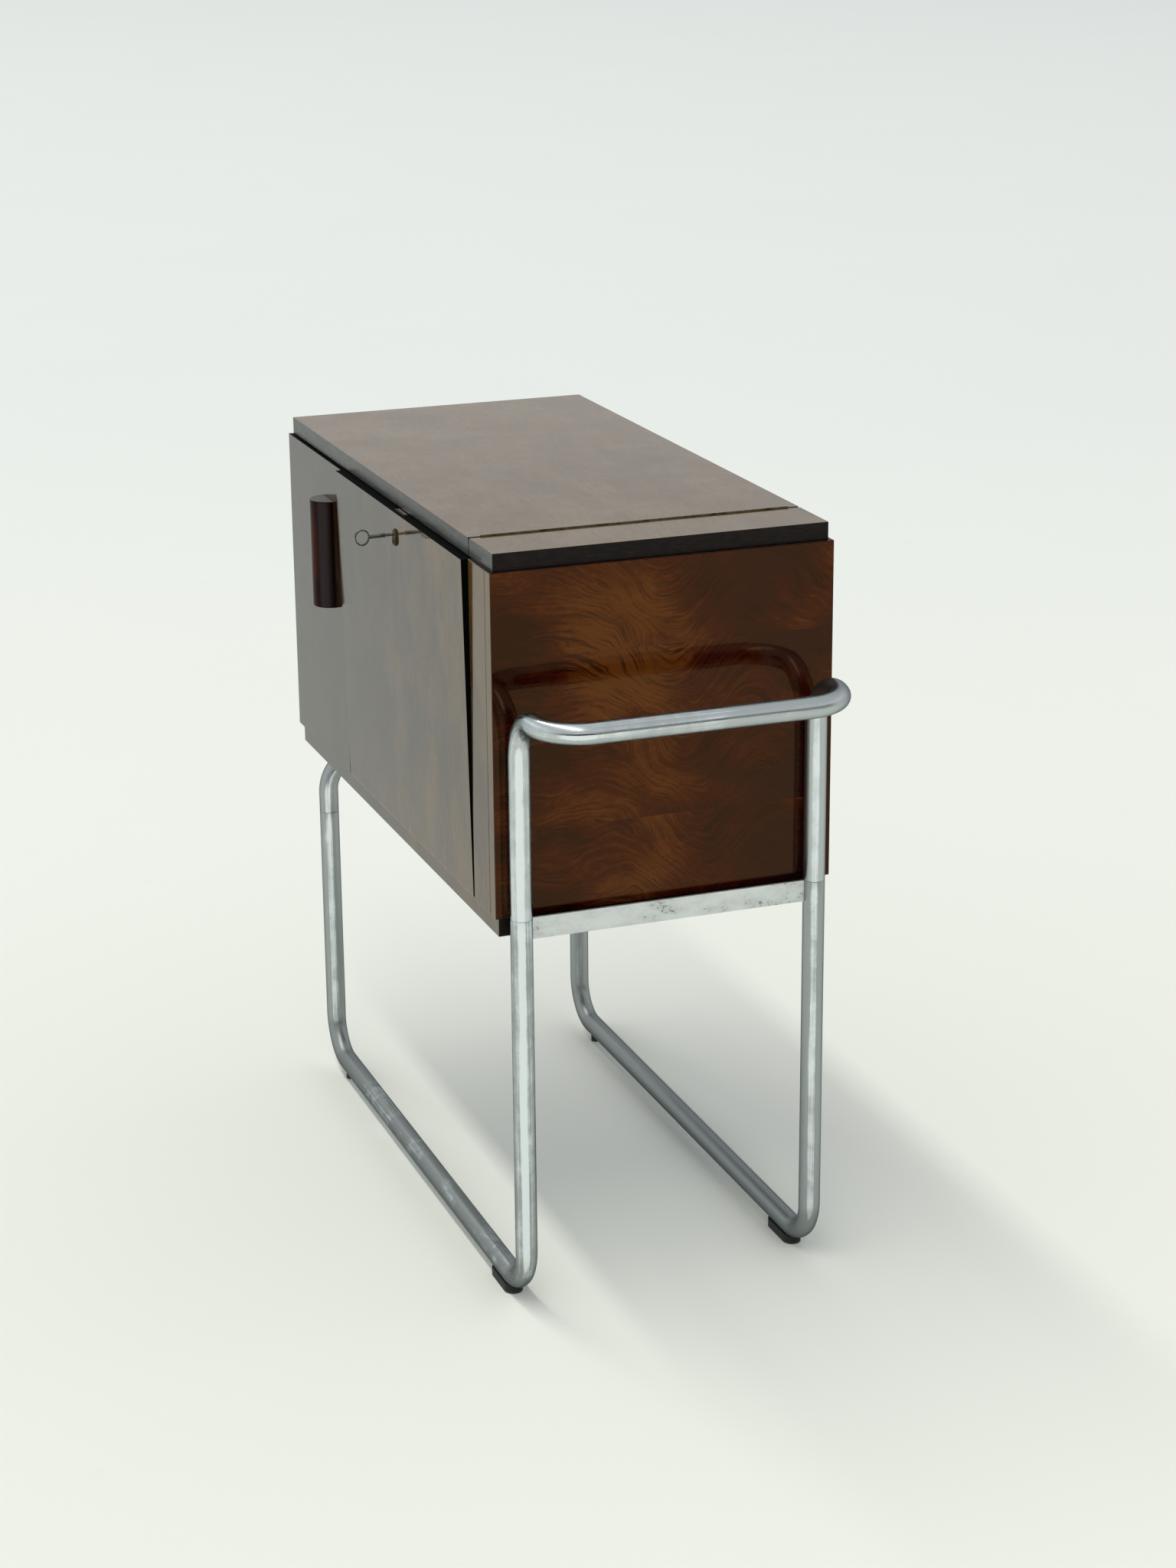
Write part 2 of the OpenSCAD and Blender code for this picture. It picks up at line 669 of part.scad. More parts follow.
// Raised plate with rounded ends: straight at its foot, then sloping in towards its face
module escutcheon() {
    half = (escutcheon_h - escutcheon_w) / 2;
    w = escutcheon_w / 2;
    foot = escutcheon_out * 0.4;
    slope = escutcheon_out - foot;
    color(old_brass) at_origin() on_flap() translate([flap_mid_x, 0, key_z])
        difference() {
            translate([0, 0, -escutcheon_drop]) {
                for (z = [-half, half]) {
                    rod_y([0, -foot, z], foot, w);
                    translate([0, -foot, z]) rotate([90, 0, 0])
                        cylinder(h = slope, r1 = w, r2 = w - slope);
                }
                translate([0, 0, -half]) linear_extrude(2 * half)
                    polygon([[-w, 0], [w, 0], [w, -foot], [w - slope, -escutcheon_out],
                        [slope - w, -escutcheon_out], [-w, -foot]]);
            }
            keyhole(-escutcheon_out - eps, eps, key_stem_d / 2 + 0.5, 1.6, bit_r + 0.6);
        }
}
module key() {
    stem_end = front_back - lock_wall - 0.9;
    collar_y = -bow_out + bow_r;
    color(steel) at_origin() on_flap() translate([flap_mid_x, 0, key_z]) {
        rod_y([0, collar_y, 0], stem_end - collar_y, key_stem_d / 2);
        rod_y([0, collar_y, 0], key_shank_l, key_stem_d / 2 + 0.5);
        rod_y([0, collar_y + key_shank_l, 0], 1.4, key_stem_d / 2 + 1);
        box([-1.2, bolt_y0 + 0.2, -bit_r], [1.2, bolt_y0 + bolt_t - 0.2, 0]);
        translate([0, -bow_out, bow_straight / 2]) half_ring(0);
        translate([0, -bow_out, -bow_straight / 2]) half_ring(180);
        for (y = [-bow_r, bow_r])
            rod_z([0, -bow_out + y, -bow_straight / 2], bow_straight, bow_rod_d / 2);
    }
}
// Half of the key's ring, in the YZ plane, turned about X
module half_ring(turn) {
    rotate([turn, 0, 0])
        rotate([90, 0, 90])
            rotate_extrude(angle = 180)
                translate([bow_r, 0]) circle(d = bow_rod_d);
}

// Side door, its handle, hinges and catch
module side_door() {
    color(walnut) at_origin() difference() {
        box([0, 0, carcass_z + top_gap], [door_w, front_back, front_z1]);
        handle_screw_shapes(run_clear);
        rod_z([catch_x, catch_y, carcass_z + top_gap - eps], 14 + eps, catch_d / 2 + run_clear);
    }
}
module door_handle() {
    ease = 1.5;
    z0 = carcass_z + handle_z - handle_l / 2;
    color(walnut) at_origin() difference() {
        translate([handle_x, handle_y, z0]) {
            cylinder(h = ease, r1 = handle_r - ease, r2 = handle_r);
            translate([0, 0, ease]) cylinder(h = handle_l - 2 * ease, r = handle_r);
            translate([0, 0, handle_l - ease]) cylinder(h = ease, r1 = handle_r, r2 = handle_r - ease);
        }
        box([handle_x - handle_d, 0, z0 - eps], [handle_x + handle_d, handle_d, z0 + handle_l + eps]);
        handle_screw_shapes(run_clear);
    }
}
module handle_screw_shapes(extra) {
    for (z = handle_screw_z)
        translate([handle_x, front_back, carcass_z + handle_z + z])
            rotate([90, 0, 0]) screw(front_back + handle_out / 2, 4, extra);
}
module handle_screws() { color(steel) at_origin() handle_screw_shapes(0); }
module door_hinges_fixed() {
    color(old_brass) at_origin() at_door_hinges() hinge_half(door_hinge_l, 5, lid_knuckle_r, 0, -1);
}
module door_hinges_moving() {
    color(old_brass) at_origin() at_door_hinges() hinge_half(door_hinge_l, 5, lid_knuckle_r, 1, 1);
}
module door_hinge_pins() { color(steel) at_origin() at_door_hinges() hinge_pin(door_hinge_l); }
module door_catch() {
    color(old_brass) at_origin() {
        difference() {
            rod_z([catch_x, catch_y, carcass_z + top_gap], 14, catch_d / 2);
            rod_z([catch_x, catch_y, carcass_z + top_gap - eps], 8, ball_r + run_clear);
        }
        translate([catch_x, catch_y, carcass_z + 0.3 + ball_r]) sphere(r = ball_r);
        rod_z([catch_x, catch_y, carcass_z + 0.3 + ball_r], top_gap + 8 - ball_r - 0.3, 1);
    }
}
module catch_strike() {
    color(old_brass) at_origin() difference() {
        box([catch_x - 10, inset, carcass_z - 1.2], [catch_x + 10, catch_y + 6, carcass_z]);
        rod_z([catch_x, catch_y, carcass_z - 2], 4, 1.8);
    }
}

// Tube frame
module front_runner_loop() { color(steel) at_origin() runner_loop(loop_y[0]); }
module rear_runner_loop() { color(steel) at_origin() runner_loop(loop_y[1]); }
module left_cross_tube() {
    color(steel) at_origin() difference() {
        union() {
            for (y = loop_y) tube_z(leg_x, y, leg_seam_z, cross_z - bend_r);
            translate([leg_x, loop_y[0] + bend_r, cross_z - bend_r])
                rotate([0, 0, -90]) rotate([90, 0, 0]) bend();
            translate([leg_x, loop_y[1] - bend_r, cross_z - bend_r])
                rotate([0, 0, 90]) rotate([90, 0, 0]) bend();
            tube_y(leg_x, loop_y[0] + bend_r, loop_y[1] - bend_r, cross_z);
        }
        for (y = tube_screw_y)
            rod_z([leg_x, y, cross_z - tube_d], 2 * tube_d, screw_d / 2 + run_clear);
    }
}
module rail_hoop() {
    color(steel) at_origin() {
        for (y = loop_y) {
            tube_z(upright_x, y, seam_z, rail_z - bend_r);
            translate([upright_x + bend_r, y, rail_z - bend_r]) rotate([90, 0, 180]) bend();
            if (rail_extra > 0)
                tube_x(upright_x + bend_r, rail_x - bend_r, y, rail_z);
        }
        translate([rail_x - bend_r, loop_y[0] + bend_r, rail_z]) rotate([0, 0, -90]) bend();
        translate([rail_x - bend_r, loop_y[1] - bend_r, rail_z]) bend();
        tube_y(rail_x, loop_y[0] + bend_r, loop_y[1] - bend_r, rail_z);
    }
}
module tube_spigots() {
    color(dull_steel) at_origin()
        for (y = loop_y) {
            rod_z([upright_x, y, seam_z - spigot_l / 2], spigot_l, bore_r - run_clear);
            rod_z([leg_x, y, leg_seam_z - spigot_l / 2], spigot_l, bore_r - run_clear);
        }
}
module cross_angle() {
    color(dull_steel) at_origin() difference() {
        union() {
            box([angle_x1 - angle_t, angle_y[0], base_bottom],
                [angle_x1, angle_y[1], base_bottom + angle_h]);
            box([angle_x0, angle_y[0], base_bottom],
                [angle_x1, angle_y[1], base_bottom + angle_t]);
        }
        angle_screw_shapes(screw_clear / 2);
    }
}

// The screws that hold the base board to the steel angle and to the left cross tube
tube_screw_y = [carcass_d * 0.3, carcass_d * 0.7];
angle_screw_y = [carcass_d * 0.2, carcass_d * 0.5, carcass_d * 0.8];
module angle_screw_shapes(extra) {
    for (y = angle_screw_y)
        translate([angle_screw_x, y, base_bottom]) screw(screw_bite, screw_d, extra);
}
module frame_screw_shapes(extra) {
    angle_screw_shapes(extra);
    for (y = tube_screw_y) {
        rod_z([leg_x, y, cross_z - tube_r], tube_d + screw_bite, screw_d / 2 + extra);
        rod_z([leg_x, y, cross_z - tube_r - 2.5], 2.5, screw_head_d / 2);
    }
}
module frame_screws() { color(dull_steel) at_origin() frame_screw_shapes(0); }

// What the frame stands on
module saddle_pads() {
    color(black) at_origin() for (y = loop_y) difference() {
        union() {
            box([pad_x1 - pad_l + pad_w / 2, y - pad_w / 2, 0], [pad_x1 - pad_w / 2, y + pad_w / 2, pad_h]);
            for (x = [pad_x1 - pad_l + pad_w / 2, pad_x1 - pad_w / 2])
                rod_z([x, y, 0], pad_h, pad_w / 2);
        }
        rod_x([pad_x1 - pad_l - eps, y, runner_z], pad_l - pad_past + eps, tube_r);
        translate([upright_x - bend_r, y, runner_z + bend_r]) rotate([-90, 0, 0])
            rotate_extrude(angle = 90) translate([bend_r, 0]) circle(r = tube_r);
    }
}
module left_glides() {
    color(black) at_origin() for (y = loop_y) difference() {
        rod_z([leg_x + bend_r + glide_d, y, 0], foot_h + 1, glide_d / 2);
        rod_x([leg_x + bend_r, y, runner_z], 2 * glide_d, tube_r);
    }
}

left_end_panel();
right_end_panel();
back_panel();
base_board();
left_partition();
right_partition();
front_stile();
shelf();
shelf_pins();
lid_fixed_strip();
lid_hinge_fixed();
lid_hinge_pin();
lid_stay_stud();
flap_hinge_fixed();
flap_hinge_pin();
flap_stay_studs();
door_hinges_fixed();
door_hinge_pins();
catch_strike();
front_runner_loop();
rear_runner_loop();
left_cross_tube();
rail_hoop();
tube_spigots();
cross_angle();
frame_screws();
saddle_pads();
left_glides();
side_door();
door_handle();
handle_screws();
door_hinges_moving();
door_catch();
flap();
flap_hinge_moving();
flap_stay_brackets();
lock_case();
escutcheon();
flap_stay_left();
flap_stay_right();
lid_leaf();
lid_hinge_moving();
lid_stay_bracket();
lock_keeper();
lid_stay();
lock_bolt();
key();
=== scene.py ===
"""Bar cabinet on a bent tube frame: boards, tubes, fittings, finishes, studio and camera."""

import logging
import math
from dataclasses import dataclass, field
from enum import Enum
from typing import Optional, Sequence, Union

import bmesh
import bpy
import numpy as np
from mathutils import Matrix, Vector


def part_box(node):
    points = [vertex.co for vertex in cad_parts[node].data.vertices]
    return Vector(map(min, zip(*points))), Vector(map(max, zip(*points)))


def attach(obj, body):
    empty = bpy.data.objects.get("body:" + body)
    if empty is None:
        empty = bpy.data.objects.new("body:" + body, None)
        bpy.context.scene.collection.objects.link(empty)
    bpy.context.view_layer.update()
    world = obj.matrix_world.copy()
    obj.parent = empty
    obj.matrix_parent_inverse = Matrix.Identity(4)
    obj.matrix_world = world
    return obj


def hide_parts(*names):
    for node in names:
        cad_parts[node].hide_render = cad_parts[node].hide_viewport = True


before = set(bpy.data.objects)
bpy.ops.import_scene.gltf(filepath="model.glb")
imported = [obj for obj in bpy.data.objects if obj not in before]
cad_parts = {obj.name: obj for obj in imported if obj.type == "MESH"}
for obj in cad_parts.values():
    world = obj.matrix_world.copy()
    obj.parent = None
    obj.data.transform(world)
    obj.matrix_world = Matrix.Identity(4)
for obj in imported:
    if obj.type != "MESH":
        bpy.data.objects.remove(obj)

LOG = logging.getLogger("bar_cabinet")
MM = 0.001
CARCASS_WIDTH = 800.0
# Opposite corners of the right end panel, in metres in the shared frame
END_LOW, END_HIGH = (np.array(corner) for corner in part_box("right_end_panel"))
# In mm, how far the shared frame's origin lies past the carcass's left end and front
CORNER = np.array([CARCASS_WIDTH - END_HIGH[0] * 1000, -END_LOW[1] * 1000, 0.0])

UV_MAP = "UVMap"
# In metres: points nearer than the first are one, and edges shorter than the second go
MERGE_DISTANCE = 2e-6
SHORTEST_EDGE = 1e-6
# In degrees: faces within the first are one flat face, and edges sharper than the second are eased
FLAT_ANGLE = 0.6
EASED_ANGLE = 35.0
EASE_SEGMENTS = 2
# In radians, to four places
QUARTER_TURN = 1.5708

Number = Union[int, float]
Colour = tuple[float, float, float]
Way = tuple[float, float, float]


def at(points: np.ndarray) -> np.ndarray:
    """Takes points from the carcass's corner, in mm, to the shared frame, in metres.

    Args:
        points: array whose last axis holds x, y and z.
    Returns:
        The same points less the corner's offset, times one thousandth.
    """
    return (np.asarray(points, float) - CORNER) * MM


def darker(colour: Colour, share: float) -> Colour:
    """The colour times a share."""
    return tuple(c * share for c in colour)


def quarter_round(lead: np.ndarray, ease: float) -> np.ndarray:
    """How far an edge lies inside, at each distance from the end: the fall of a quarter circle."""
    return (1 - np.sqrt(1 - (1 - lead / ease) ** 2)) * ease


def add_object(name: str, data: bpy.types.ID) -> bpy.types.Object:
    """Puts new data into the scene.

    Args:
        name: the object's name.
        data: its mesh, light or camera.
    Returns:
        The object, at the origin.
    """
    obj = bpy.data.objects.new(name, data)
    bpy.context.scene.collection.objects.link(obj)
    return obj


# Shader maths


class Sock:
    """A shader socket on which arithmetic is written as plain expressions."""

    def __init__(self, nodes: "Nodes", socket: bpy.types.NodeSocket) -> None:
        """Keeps the socket and the nodes that it belongs to."""
        self.nodes = nodes
        self.socket = socket

    def _math(self, operation: str, *values: "Value") -> "Sock":
        """Adds one Math node.

        Args:
            operation: the node's operation.
            values: its inputs, in order.
        Returns:
            The node's result.
        """
        return self.nodes.add("ShaderNodeMath", {"operation": operation}, dict(enumerate(values)))

    def __add__(self, other: "Value") -> "Sock":
        """This plus the other."""
        return self._math("ADD", self, other)

    __radd__ = __add__

    def __sub__(self, other: "Value") -> "Sock":
        """This less the other."""
        return self._math("SUBTRACT", self, other)

    def __rsub__(self, other: "Value") -> "Sock":
        """The other less this."""
        return self._math("SUBTRACT", other, self)

    def __mul__(self, other: "Value") -> "Sock":
        """This times the other."""
        return self._math("MULTIPLY", self, other)

    __rmul__ = __mul__

    def __truediv__(self, other: "Value") -> "Sock":
        """This over the other."""
        return self._math("DIVIDE", self, other)

    def __neg__(self) -> "Sock":
        """Minus this."""
        return self._math("MULTIPLY", self, -1.0)

    def floor(self) -> "Sock":
        """The whole number below this."""
        return self._math("FLOOR", self)

    def exp(self) -> "Sock":
        """The exponential of this."""
        return self._math("EXPONENT", self)

    def sin(self) -> "Sock":
        """The sine of this."""
        return self._math("SINE", self)

    def over(self, other: "Value") -> "Sock":
        """The larger of this and the other."""
        return self._math("MAXIMUM", self, other)

    def under(self, other: "Value") -> "Sock":
        """The smaller of this and the other."""
        return self._math("MINIMUM", self, other)

    def ramp(self, low: Number, high: Number) -> "Sock":
        """A smooth step from 0 where this is low to 1 where it is high.

        Args:
            low: value at which the step starts; it may be above high for a falling step.
            high: value at which the step ends.
        Returns:
            The step's value.
        """
        return self.nodes.add(
            "ShaderNodeMapRange", {"interpolation_type": "SMOOTHSTEP"},
            {"Value": self, "From Min": low, "From Max": high})


Value = Union[Sock, Number]


class Nodes:
    """The node tree of one material or world."""

    def __init__(self, owner: Union[bpy.types.Material, bpy.types.World]) -> None:
        """Empties the owner's tree.

        Args:
            owner: the material or world.
        """
        owner.use_nodes = True
        self.owner = owner
        self.tree = owner.node_tree
        self.tree.nodes.clear()

    def add(self, kind: str, settings: Optional[dict] = None, inputs: Optional[dict] = None,
            out: Union[int, str] = 0) -> Sock:
        """Adds any node.

        Args:
            kind: the node's type.
            settings: attributes to set first; "ramp" holds a colour ramp's stops.
            inputs: values or links by socket name or index.
            out: the output that is returned.
        Returns:
            That output, ready for arithmetic.
        """
        node = self.tree.nodes.new(kind)
        for key, value in (settings or {}).items():
            if key == "ramp":
                self._stops(node, value)
            else:
                setattr(node, key, value)
        for key, value in (inputs or {}).items():
            if isinstance(value, Sock):
                self.tree.links.new(value.socket, node.inputs[key])
            else:
                node.inputs[key].default_value = value
        return Sock(self, node.outputs[out] if node.outputs else node.inputs[0])

    @staticmethod
    def _stops(node: bpy.types.Node, stops: Sequence[tuple[float, Colour]]) -> None:
        """Sets a colour ramp's stops.

        Args:
            node: the ramp.
            stops: each stop's place and colour.
        """
        elements = node.color_ramp.elements
        while len(elements) < len(stops):
            elements.new(0.5)
        for element, (place, colour) in zip(elements, stops):
            element.position = place
            element.color = (*colour, 1.0)

    def split(self, point: Sock) -> tuple[Sock, Sock, Sock]:
        """Takes a point apart.

        Args:
            point: the point.
        Returns:
            Its x, y and z.
        """
        node = self.tree.nodes.new("ShaderNodeSeparateXYZ")
        self.tree.links.new(point.socket, node.inputs[0])
        x, y, z = (Sock(self, node.outputs[i]) for i in range(3))
        return x, y, z

    def place(self) -> tuple[Sock, Sock, Sock]:
        """The object's x, y and z, in metres."""
        return self.split(self.add("ShaderNodeTexCoord", out="Object"))

    def along(self) -> tuple[Sock, Sock]:
        """The piece's own map: the share of the way round, and metres along."""
        return self.split(self.add("ShaderNodeUVMap", {"uv_map": UV_MAP}))[:2]

    def noise(self, x: Value, y: Value, z: Value, detail: float = 3.0,
              rough: float = 0.5, distort: float = 0.0) -> Sock:
        """Soft noise from 0 to 1 at a point whose unit is one blotch.

        Args:
            x: first coordinate.
            y: second coordinate.
            z: third coordinate.
            detail: number of finer layers.
            rough: strength of each finer layer.
            distort: how far the noise bends itself.
        Returns:
            The noise.
        """
        point = self.add("ShaderNodeCombineXYZ", None, {0: x, 1: y, 2: z})
        return self.add(
            "ShaderNodeTexNoise", {"noise_dimensions": "3D"},
            {"Vector": point, "Scale": 1.0, "Detail": detail, "Roughness": rough,
             "Distortion": distort})

    def facing(self, way: Way, low: float, high: float) -> Sock:
        """How nearly the surface looks one way.

        Args:
            way: that way, as a unit vector.
            low: cosine of the angle at which the share starts.
            high: cosine of the angle within which it is whole.
        Returns:
            A smooth step of the normal times that way.
        """
        normal = self.add("ShaderNodeTexCoord", out="Normal")
        cosine = self.add(
            "ShaderNodeVectorMath", {"operation": "DOT_PRODUCT"}, {0: normal, 1: way}, 1)
        return cosine.ramp(low, high)

    def colours(self, value: Sock, stops: Sequence[tuple[float, Colour]]) -> Sock:
        """A colour read from a ramp at a value."""
        return self.add("ShaderNodeValToRGB", {"ramp": stops}, {0: value})

    def mix(self, share: Value, first: Union[Sock, Colour], second: Union[Sock, Colour]) -> Sock:
        """One colour laid over another.

        Args:
            share: how much of the second shows.
            first: the colour below.
            second: the colour above.
        Returns:
            The joined colour.
        """
        first, second = ((*c, 1.0) if isinstance(c, tuple) else c for c in (first, second))
        return self.add(
            "ShaderNodeMix", {"data_type": "RGBA"}, {0: share, 6: first, 7: second}, 2)

    def finish(self, varying: dict, fixed: dict, height: Optional[Sock] = None,
               depth: float = 0.0, strength: float = 1.0) -> bpy.types.Material:
        """Closes the material with its one surface shader.

        Args:
            varying: links of the shader's sockets that change over the surface.
            fixed: constants of the other sockets.
            height: a relief from 0 to 1, or nothing.
            depth: what a relief of 1 measures, in metres.
            strength: how strongly the relief shows.
        Returns:
            The material.
        """
        inputs = {**fixed, **varying}
        if height is not None:
            inputs["Normal"] = self.add(
                "ShaderNodeBump", None, {"Height": height, "Distance": depth, "Strength": strength})
        shader = self.add("ShaderNodeBsdfPrincipled", None, inputs)
        self.add("ShaderNodeOutputMaterial", None, {"Surface": shader})
        return self.owner


# Finishes. Beside a coordinate, a number counts blotches per metre; the two numbers of a ramp
# are the values between which a mark fades in.


class Lie(Enum):
    """Which way a veneered face lies: its grain's axis and the axis across its leaves."""

    END = (1, 2)
    FRONT = (2, 0)
    TOP = (0, 1)

    def of(self, place: tuple[Sock, Sock, Sock]) -> tuple[Sock, Sock]:
        """The places along the grain and across the leaves."""
        return place[self.value[0]], place[self.value[1]]


@dataclass(frozen=True)
class Veneer:
    """Polished veneer, laid in matched leaves.

    The figure is a set of level lines. Across a leaf they count up evenly; an arch lifts them
    around the middle of the figure, a slant turns them beyond it, and soft noise bends them.
    Widths and places are in metres. The first leaf begins at start, and the figure's middle lies
    at centre. A lighter strip lies at glow_at, and beyond it the darker clouds turn a darker
    purplish red.
    """

    name: str
    lie: Lie
    dark: Colour
    middle: Colour
    light: Colour
    leaf: float = 0.0975
    start: float = 0.470
    centre: float = 0.075
    width: float = 0.055
    arch: float = 0.10
    slant: float = 0.55
    swirl: float = 0.075
    ior: float = 1.45
    rough: float = 0.06
    haze: float = 0.0
    seed: float = 0.0
    fade: float = 0.0
    fade_from: float = 1.5
    spread: float = 0.07
    patchy: float = 0.50
    mottled: float = 0.13
    glow: float = 0.0
    glow_at: float = 0.01
    glow_width: float = 0.085
    ink: float = 0.0
    age: float = 0.0
    darker_clouds: Colour = (0.020, 0.0030, 0.0035)
    varnish: Colour = (1.0, 1.0, 1.0)
    hazed: Colour = (0.40, 0.40, 0.38)
    leaf_step: float = 0.012

    def material(self) -> bpy.types.Material:
        """Makes the finish.

        Returns:
            The material: streaks and pores from the level lines, tone by leaf, polish wear.
        """
        n = Nodes(bpy.data.materials.new(self.name))
        place = n.place()
        s, t = self.lie.of(place)
        t = t - self.start
        leaf = (t / self.leaf).floor()
        v = t - leaf * self.leaf
        s = s + leaf * self.leaf_step
        # The level lines, bent in broad and in fine waves
        bend = n.noise(s * 9.0, v * 12.0, leaf * 0.21 + self.seed, 2.0, 0.45) - 0.5
        bend_fine = n.noise(s * 30.0, v * 42.0, leaf * 0.21 + self.seed + 3.0, 2.0, 0.5) - 0.5
        off = (s - self.centre + bend * 0.06) / self.width
        level = v + bend * self.swirl + bend_fine * 0.014 + self.arch * (-(off * off)).exp()
        level = level + self.slant * (s - self.centre - 0.03).over(0.0)
        # The tone: bands and streaks along the lines, clouds, mottle, lighter strip and leaf
        broad = n.noise(s * 9.0, level * 60.0, leaf * 0.13 + self.seed, 3.0, 0.55, 0.3)
        streak = n.noise(s * 16.0, level * 240.0, self.seed + 5.0, 3.0, 0.62)
        cloud = n.noise(s * 8.0, v * 11.0, leaf * 0.4 + self.seed + 7.0, 2.0, 0.45)
        mottle = n.noise(s * 95.0, v * 150.0, self.seed + 8.0, 3.0, 0.62)
        apart = (s - self.glow_at) / self.glow_width
        glow = (-(apart * apart)).exp() - 0.5
        tone = ((broad - 0.5) * 0.12 + (streak - 0.5) * 0.24 + (cloud - 0.5) * self.patchy
                + (mottle - 0.5) * self.mottled + glow * self.glow
                + (leaf - self.fade_from) * self.fade + 0.5)
        colour = n.colours(tone, [(0.5 - self.spread, self.dark), (0.5, self.middle),
                                  (0.5 + self.spread, self.light)])
        # Beyond the lighter strip, the darker clouds turn a darker purplish red
        darker_clouds = cloud.ramp(0.60, 0.42) * (s + bend * 0.12).ramp(
            self.glow_at + 0.05, self.glow_at + 0.15)
        colour = n.mix(darker_clouds * self.age, colour, self.darker_clouds)
        # Drawn lines, pores and the seams between leaves
        ridge = n.noise(s * 7.0, level * 120.0, leaf * 0.3 + self.seed + 4.0, 3.0, 0.5) - 0.5
        spread = n.noise(
            s * 16.0, v * 30.0, leaf * 0.3 + self.seed + 6.0, 2.0, 0.5).ramp(0.38, 0.62)
        drawn = (ridge * ridge).ramp(0.0022, 0.0) * spread * self.ink
        colour = n.mix(drawn, colour, darker(self.dark, 0.45))
        pores = n.noise(s * 240.0, level * 2600.0, self.seed + 2.0, 1.0, 0.5).ramp(0.60, 0.74)
        colour = n.mix(pores * 0.45, colour, darker(self.dark, 0.35))
        edge = (v - self.leaf * 0.5) / (self.leaf * 0.5)
        seam = (edge * edge).ramp(0.975, 1.0)
        colour = n.mix(seam * 0.18, colour, darker(self.dark, 0.5))
        # The polish: a grey haze where it is worn, over a face that isn't quite level
        wear = n.noise(place[0] * 22.0, place[1] * 22.0, place[2] * 22.0, 4.0, 0.6)
        colour = n.mix(wear.ramp(0.47, 0.70) * self.haze, colour, self.hazed)
        rough = self.rough + wear.ramp(0.5, 0.8) * 0.05 + pores * 0.12
        wave = n.noise(place[0] * 16.0, place[1] * 16.0, place[2] * 16.0, 1.0, 0.4)
        height = wave + pores * -0.02
        return n.finish(
            {"Base Color": colour, "Roughness": rough},
            {"IOR": self.ior, "Specular Tint": (*self.varnish, 1.0)}, height, 0.0008, 0.35)


@dataclass(frozen=True)
class Lipping:
    """Dark lippings on the boards' edges: straight grain and dull polish, worn in streaks."""

    name: str
    colour: Colour = (0.006, 0.004, 0.004)
    worn: Colour = (0.022, 0.012, 0.008)
    rough: float = 0.40
    ior: float = 1.25

    def material(self) -> bpy.types.Material:
        """Makes the finish.

        Returns:
            The material: streaks and spots of the worn colour over the plain one.
        """
        n = Nodes(bpy.data.materials.new(self.name))
        x, y, z = n.place()
        grain = n.noise(x * 18.0, y * 60.0, z * 420.0, 4.0, 0.6)
        spots = n.noise(x * 60.0, y * 60.0, z * 60.0, 3.0, 0.6)
        colour = n.mix((grain * 0.7 + spots * 0.3).ramp(0.42, 0.75), self.colour, self.worn)
        rough = self.rough + (grain - 0.5) * 0.2
        return n.finish({"Base Color": colour, "Roughness": rough}, {"IOR": self.ior},
                        grain, 0.0002, 0.3)


@dataclass(frozen=True)
class TurnedWood:
    """The handle's wood: dark, grain along its length.

    It has painted light: a redder lit side to the front in patches, a highlight band along its
    right side, and a pale sheen on its top end.
    """

    name: str
    dark: Colour = (0.0015, 0.0004, 0.0005)
    light: Colour = (0.014, 0.0016, 0.0010)
    # Painted light: the red of the lit front, the highlight band and the sheen on the top end
    painted_lit_red: Colour = (0.036, 0.0042, 0.0018)
    painted_highlight: Colour = (0.042, 0.030, 0.034)
    top: Colour = (0.14, 0.135, 0.120)
    painted_lit_way: Way = (0.05, -0.9987, 0.0)
    painted_highlight_way: Way = (0.829, -0.559, 0.0)
    painted_sheen_way: Way = (0.0, 0.0, 1.0)
    rough: float = 0.20
    ior: float = 1.17

    def material(self) -> bpy.types.Material:
        """Makes the finish.

        Returns:
            The material: grain and clouds, the painted red lit front, the painted highlight band,
                the painted sheen on the top end, and scuffs.
        """
        n = Nodes(bpy.data.materials.new(self.name))
        x, y, z = n.place()
        grain = n.noise(x * 320.0, y * 320.0, z * 9.0, 4.0, 0.6, 0.4)
        cloud = n.noise(x * 60.0, y * 60.0, z * 14.0, 3.0, 0.6)
        colour = n.colours(grain * 0.6 + cloud * 0.45, [(0.36, self.dark), (0.72, self.light)])
        patch = n.noise(x * 20.0, y * 20.0, z * 16.0, 3.0, 0.6).ramp(0.36, 0.60)
        # Painted light: the side that looks to the front is redder in patches, as if lit
        colour = n.mix(n.facing(self.painted_lit_way, 0.75, 0.95) * patch, colour, self.painted_lit_red)
        # Painted highlight: a light band along the side that looks right and to the front
        worn = n.facing(self.painted_highlight_way, 0.93, 0.995) * (grain * 0.5 + 0.5)
        colour = n.mix(worn * 0.9, colour, self.painted_highlight)
        # Painted sheen: the top end is pale
        colour = n.mix(n.facing(self.painted_sheen_way, 0.80, 0.98), colour, self.top)
        scuffs = n.noise(x * 180.0, y * 180.0, z * 180.0, 3.0, 0.7).ramp(0.62, 0.75)
        return n.finish({"Base Color": colour, "Roughness": self.rough + scuffs * 0.25},
                        {"IOR": self.ior}, grain, 0.0003, 0.25)


